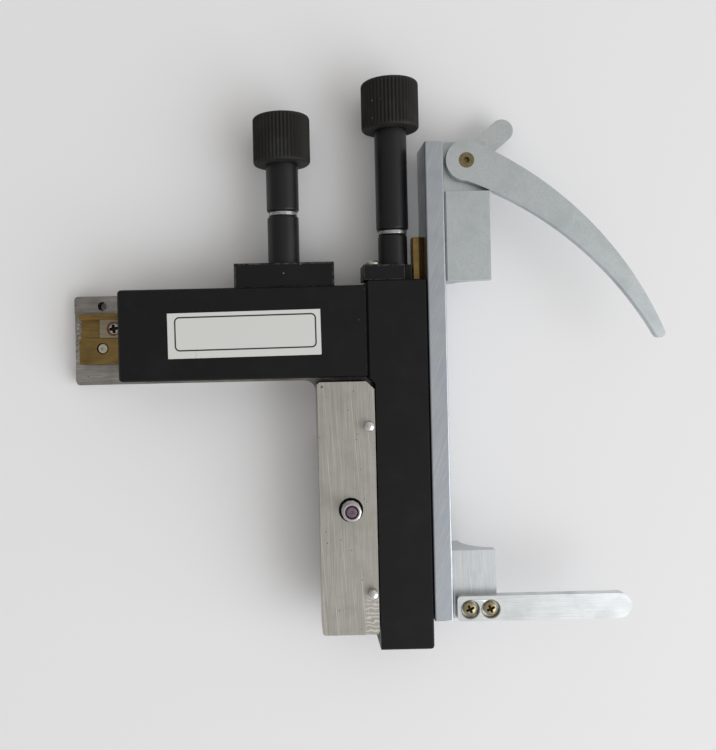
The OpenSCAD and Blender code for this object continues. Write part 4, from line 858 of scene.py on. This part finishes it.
dressed("base_frame", [filed_leg, milled_arm, slot_and_hole_shade], broken=0.15, pick=base_finish)
dressed("carriage_housing", [black_housing], rub=housing_rub)
for node in ("bar_housing", "pinion_block", "bearing_plate"):
    dressed(node, [black_housing], rub=lambda middle: HARDLY_RUBBED)
dressed("slide_bar", [bar_satin])
dressed("pivot_arm", [arm_satin], broken=0.25, steps=3)
dressed("fixed_arm", [arm_brushed], broken=0.2, steps=3)
dressed("fixed_finger", [finger_bright], broken=0.4, steps=4)
for node in ("curved_finger", "thumb_lever"):
    dressed(node, [arm_satin], broken=0.35, steps=4)
for node in ("carriage_rail", "guide_strip"):
    dressed(node, [brass_old], broken=0.1)
dressed("carriage_rack", [oiled_rack], broken=0.08, least=0.6)
dressed("label", [label_film], broken=0.03)
for node in ("carriage_sleeve", "bar_sleeve", "carriage_skirt", "bar_skirt"):
    dressed(node, [black_sleeve], **TURNED)
for node in ("carriage_collar", "bar_collar"):
    dressed(node, [worn_silver], **TURNED)
for node in ("bar_scale", "bar_vernier"):
    dressed(node, [worn_silver], broken=0.05)

# the captive ring's black is its oxide and also painted shade for the gap round the clamp screw
KEPT = {
    "locating_pins": polished_steel, "captive_ring": black_oxide, "rail_screws": nickel,
    "clamp_washer": zinc, "pinion_block_screws": black_oxide, "housing_screws": black_oxide,
    "bearing_plate_screw": nickel, "pinion_shaft": nickel, "drive_pinion": turned_brass,
    "lead_screw": nickel, "strip_screws": nickel, "drive_nut": turned_brass,
    "arm_screws": black_oxide, "finger_spring": spring_steel, "pivot_pin": bronze,
    "pivot_nut": yellow_zinc,
}
for node, material in KEPT.items():
    plain(node, material)


# ---- Knurled knobs and the clamp screw ----


POINTS_PER_KNURL = 6
ALONG_Y, ALONG_Z = 1, 2


def knob(node, along, knurls):
    """A knurled knob in the place of a CAD knob, its ends rounded over."""
    low, high = box_of(node)
    size = high - low
    mesh = grown(node + "_knurled", turned, {
        "Radius": size.x / 2 * MM, "Length": size[along] * MM, "Corner": 0.7 * MM,
        "Around": knurls * POINTS_PER_KNURL, "Along": 44, "Rings": 16, "Grooves": float(knurls),
        "Groove depth": 0.26 * MM, "Plain end": 0.9 * MM, "Place": (low + high) / 2 * MM,
        "Turn": (math.radians(-90) if along == ALONG_Y else 0.0, 0.0, 0.0),
        "Material": black_knob,
    })
    piece_from(mesh, node + "_knurled", node)


knob("carriage_knob", ALONG_Y, 48)
knob("bar_knob", ALONG_Y, 48)
knob("clamp_knob", ALONG_Z, 36)

# the clamp screw: an M4 thread with a hollow end, a turned neck down to the head, and a
# dimpled boss in the hollow
STUD_LOW, STUD_HIGH = box_of("clamp_stud")
THREAD_LENGTH = 2.6
THREAD_PITCH = 0.7
NECK_HIGH = STUD_HIGH.z - THREAD_LENGTH
stud = grown("clamp_thread", turned, {
    "Radius": 2.0 * MM, "Length": THREAD_LENGTH * MM, "Corner": 0.45 * MM,
    "Around": 96, "Along": 40, "Rings": 24,
    "Grooves": 1.0, "Rise": 1 / (THREAD_PITCH * MM), "Groove depth": 0.4 * MM,
    "Plain end": 0.35 * MM, "Dish": 1.42 * MM, "Dish depth": 0.5 * MM,
    "Place": Vector((0, 0, STUD_HIGH.z - THREAD_LENGTH / 2)) * MM, "Material": zinc,
})
neck = grown("clamp_neck", turned, {
    "Radius": 1.5 * MM, "Length": (NECK_HIGH - STUD_LOW.z) * MM, "Corner": 0.1 * MM,
    "Around": 64, "Along": 12, "Rings": 4, "Plain end": 0.1 * MM,
    "Place": Vector((0, 0, (NECK_HIGH + STUD_LOW.z) / 2)) * MM, "Material": zinc,
})
end = grown("clamp_end", turned, {
    "Radius": 1.08 * MM, "Length": 0.4 * MM, "Corner": 0.14 * MM,
    "Around": 48, "Along": 6, "Rings": 10,
    "Plain end": 0.1 * MM, "Dish": 0.3 * MM, "Dish depth": 0.12 * MM,
    "Place": Vector((0, 0, STUD_HIGH.z - 0.3)) * MM, "Material": stud_end,
})
piece_from(joined("clamp_stud_threaded", [stud, neck, end]), "clamp_stud_threaded", "clamp_stud")


# ---- Cross-head screws, varnish and scale lines ----

HEAD_R = 1.3
FINGER_LOW, FINGER_HIGH = box_of("finger_screws")
finger_heads = grown("finger_heads", cross_heads, {
    "Radius": HEAD_R * MM, "Height": 0.6 * MM, "Dome": 0.3 * MM,
    "Slot length": 1.9 * MM, "Slot width": 0.5 * MM, "Slot depth": 0.5 * MM,
    "Shank radius": 0.9 * MM, "Shank length": (FINGER_HIGH.z - FINGER_LOW.z - 1.0) * MM,
    "Turn": (0.0, 0.0, math.radians(24)), "Count": 2,
    "Pitch": Vector((FINGER_HIGH.x - FINGER_LOW.x - 2 * HEAD_R, 0, 0)) * MM,
    "Place": Vector((
        FINGER_LOW.x + HEAD_R, (FINGER_LOW.y + FINGER_HIGH.y) / 2, FINGER_HIGH.z - 0.5)) * MM,
    # the cross slots are painted near black as their shade
    "Material": yellow_zinc, "Slot material": slot_and_hole_shade,
})
piece_from(finger_heads, "finger_screws_crossed", "finger_screws")

RACK_LOW, RACK_HIGH = box_of("rack_screw")
rack_head = grown("rack_head", cross_heads, {
    "Radius": HEAD_R * MM, "Height": 0.5 * MM, "Dome": 0.22 * MM,
    "Slot length": 2.0 * MM, "Slot width": 0.66 * MM, "Slot depth": 0.6 * MM,
    "Shank radius": 0.8 * MM, "Shank length": (RACK_HIGH.z - RACK_LOW.z - 0.8) * MM,
    "Turn": (0.0, 0.0, math.radians(8)), "Count": 1,
    "Place": ((RACK_LOW + RACK_HIGH) / 2 * MM).to_2d().to_3d()
    + Vector((0, 0, RACK_HIGH.z - 0.45)) * MM,
    # the cross slot is painted near black as its shade
    "Material": nickel, "Slot material": slot_and_hole_shade,
})
piece_from(rack_head, "rack_screw_crossed", "rack_screw")


def varnish_ring(name, middle, inner, outer, height):
    """A bead of varnish round a screw head, in millimetres."""
    work = bmesh.new()
    around, section = 96, 10
    rings = []
    for i in range(around):
        angle = 2 * math.pi * i / around
        # three broad and seven narrow swellings make the bead uneven
        swell = 1 + 0.12 * math.sin(3 * angle + 0.7) + 0.08 * math.sin(7 * angle)
        wide = (outer - inner) / 2 * swell
        ring = []
        for k in range(section):
            turn = 2 * math.pi * k / section
            reach = inner + wide + wide * math.cos(turn)
            ring.append(work.verts.new(Vector((
                middle.x + reach * math.cos(angle), middle.y + reach * math.sin(angle),
                middle.z + height * swell * math.sin(turn))) * MM))
        rings.append(ring)
    for i in range(around):
        for k in range(section):
            near, far = rings[i], rings[(i + 1) % around]
            work.faces.new((near[k], far[k], far[(k + 1) % section], near[(k + 1) % section]))
    bmesh.ops.recalc_face_normals(work, faces=work.faces)
    mesh = mesh_of(work, name)
    mesh.materials.append(red_varnish)
    mesh.shade_smooth()
    return mesh


rack_top = Vector((
    (RACK_LOW.x + RACK_HIGH.x) / 2, (RACK_LOW.y + RACK_HIGH.y) / 2, box_of("carriage_rack")[1].z))
bead = varnish_ring("varnish_bead", rack_top, inner=1.22, outer=1.5, height=0.12)
extra(bead, "varnish_bead", "rack_screw")

TEAR_HEIGHTS = (0.0, 0.02, 0.05, 0.11)
TEAR_SHIFT = 0.3


def torn_strip(name, low, high, columns, rows):
    """The rough band that a blunt cutter left: a sheet of uneven height, in millimetres."""
    chance = random.Random(11)
    work = bmesh.new()
    span = high - low
    grid = []
    for i in range(columns + 1):
        for j in range(rows + 1):
            # the border is sunk into the arm, so that the sheet's edge doesn't show
            lift, jitter = -0.05, Vector((0, 0))
            if i not in (0, columns) and j not in (0, rows):
                lift = chance.choice(TEAR_HEIGHTS) * chance.uniform(0.5, 1.0)
                jitter = Vector([chance.uniform(-TEAR_SHIFT, TEAR_SHIFT) for _ in range(2)])
            grid.append(work.verts.new(Vector((
                low.x + span.x * (i + jitter.x) / columns, low.y + span.y * (j + jitter.y) / rows,
                low.z + lift)) * MM))
    for i in range(columns):
        for j in range(rows):
            here = i * (rows + 1) + j
            beside = here + rows + 1
            work.faces.new((grid[here], grid[beside], grid[beside + 1], grid[here + 1]))
    mesh = mesh_of(work, name)
    mesh.materials.append(torn_rim)
    return mesh


# the housing runs 0.3 mm above the arm, and the band lies left of the rail's end
arm_top = HOUSING_LOW.z - 0.3
band_low = Vector((BASE_LOW.x + 0.1, RAIL_LOW.y + 0.8, arm_top))
band_high = Vector((RAIL_LOW.x - 0.05, RAIL_HIGH.y - 0.6, arm_top))
torn_band = torn_strip("torn_band", band_low, band_high, columns=8, rows=54)
extra(torn_band, "torn_band", "base_frame")

for node, count, pitch, long in (("bar_scale", 76, 1.0, 1.9), ("bar_vernier", 11, 0.9, 1.6)):
    low, high = box_of(node)
    start = (low.y + high.y - pitch * (count - 1)) / 2
    lines = grown(node + "_lines", graduation, {
        "Count": count, "Pitch": pitch * MM, "Every": 5, "Short": 1.1 * MM, "Long": long * MM,
        "Line": 0.12 * MM, "Height": 0.02 * MM, "Material": black_oxide,
        "Place": Vector((low.x + 0.3, start, low.z)) * MM,
    })
    extra(lines, node + "_lines", node)


# ---- Stage, light and camera ----


def floor_finish():
    """Pale matt board."""
    material = bpy.data.materials.new("pale_board")
    material.use_nodes = True
    shader = material.node_tree.nodes["Principled BSDF"]
    shader.inputs["Base Color"].default_value = linear("#EBECEE")
    shader.inputs["Roughness"].default_value = 0.9
    return material


TABLE = CAD_BOX[0].z
REACH = 3.0
CORNERS = ((-REACH, -REACH), (REACH, -REACH), (REACH, REACH), (-REACH, REACH))
board = bpy.data.meshes.new("table_top")
board.from_pydata([(x, y, TABLE) for x, y in CORNERS], [], [(0, 1, 2, 3)])
board.materials.append(floor_finish())
table_top = placed("table_top", board)

# the middle of the object, where the lamp points
AIM = Vector((0.0, 0.03, 0.0))


def softbox(name, towards, distance, width, power, tint):
    """A square soft light at that distance from the object's middle, in metres and watts."""
    data = bpy.data.lights.new(name, "AREA")
    data.shape = "SQUARE"
    data.size = width
    data.energy = power
    data.color = linear(tint)[:3]
    lamp = placed(name, data)
    lamp.location = AIM + Vector(towards).normalized() * distance
    lamp.rotation_euler = (AIM - lamp.location).to_track_quat("-Z", "Y").to_euler()


softbox("window", (1.15, -0.66, 0.66), distance=0.95, width=1.0, power=7.4, tint="#F9FBFF")


def studio_world():
    """Soft studio air, brighter on the window's side and darker and warm opposite it."""
    world = bpy.data.worlds.new("studio_air")
    world.use_nodes = True
    tree = world.node_tree
    tree.nodes.clear()
    way = add(tree, "ShaderNodeTexCoord").outputs["Generated"]
    side = add(tree, "ShaderNodeVectorMath", {
        0: way, 1: (0.85, -0.35, -0.1),
    }, operation="DOT_PRODUCT").outputs["Value"]
    level = add(tree, "ShaderNodeMapRange", {
        "Value": side, "From Min": -1.0, "From Max": 1.0, "To Min": 0.33, "To Max": 1.0,
    }).outputs[0]
    air = add(tree, "ShaderNodeBackground", {"Color": linear("#FFFCF8"), "Strength": level})
    add(tree, "ShaderNodeOutputWorld", {0: air.outputs[0]})
    return world


bpy.context.scene.world = studio_world()
bpy.context.scene.view_settings.view_transform = "Standard"

# The camera looks straight down on the mounting face from 155.5 mm above it. NADIR_PX is
# where the point below it falls in the photograph's frame, which the lens shift matches.
FRAME_PX = Vector((716, 750))
NADIR_PX = Vector((293.2, 343.7))
FOCAL_PX = 764.0
CAMERA_PLACE = Vector((-11.0, 34.1, 155.5))
CAMERA_TURN = -0.0225
lens = bpy.data.cameras.new("camera")
lens.sensor_width = 36.0
lens.lens = FOCAL_PX / FRAME_PX.y * lens.sensor_width
lens.shift_x = (FRAME_PX.x / 2 - NADIR_PX.x) / FRAME_PX.y
lens.shift_y = (NADIR_PX.y - FRAME_PX.y / 2) / FRAME_PX.y
lens.clip_start = 0.01
camera = placed("camera", lens)
camera.location = CAMERA_PLACE * MM
camera.rotation_euler = (0, 0, CAMERA_TURN)
bpy.context.scene.camera = camera
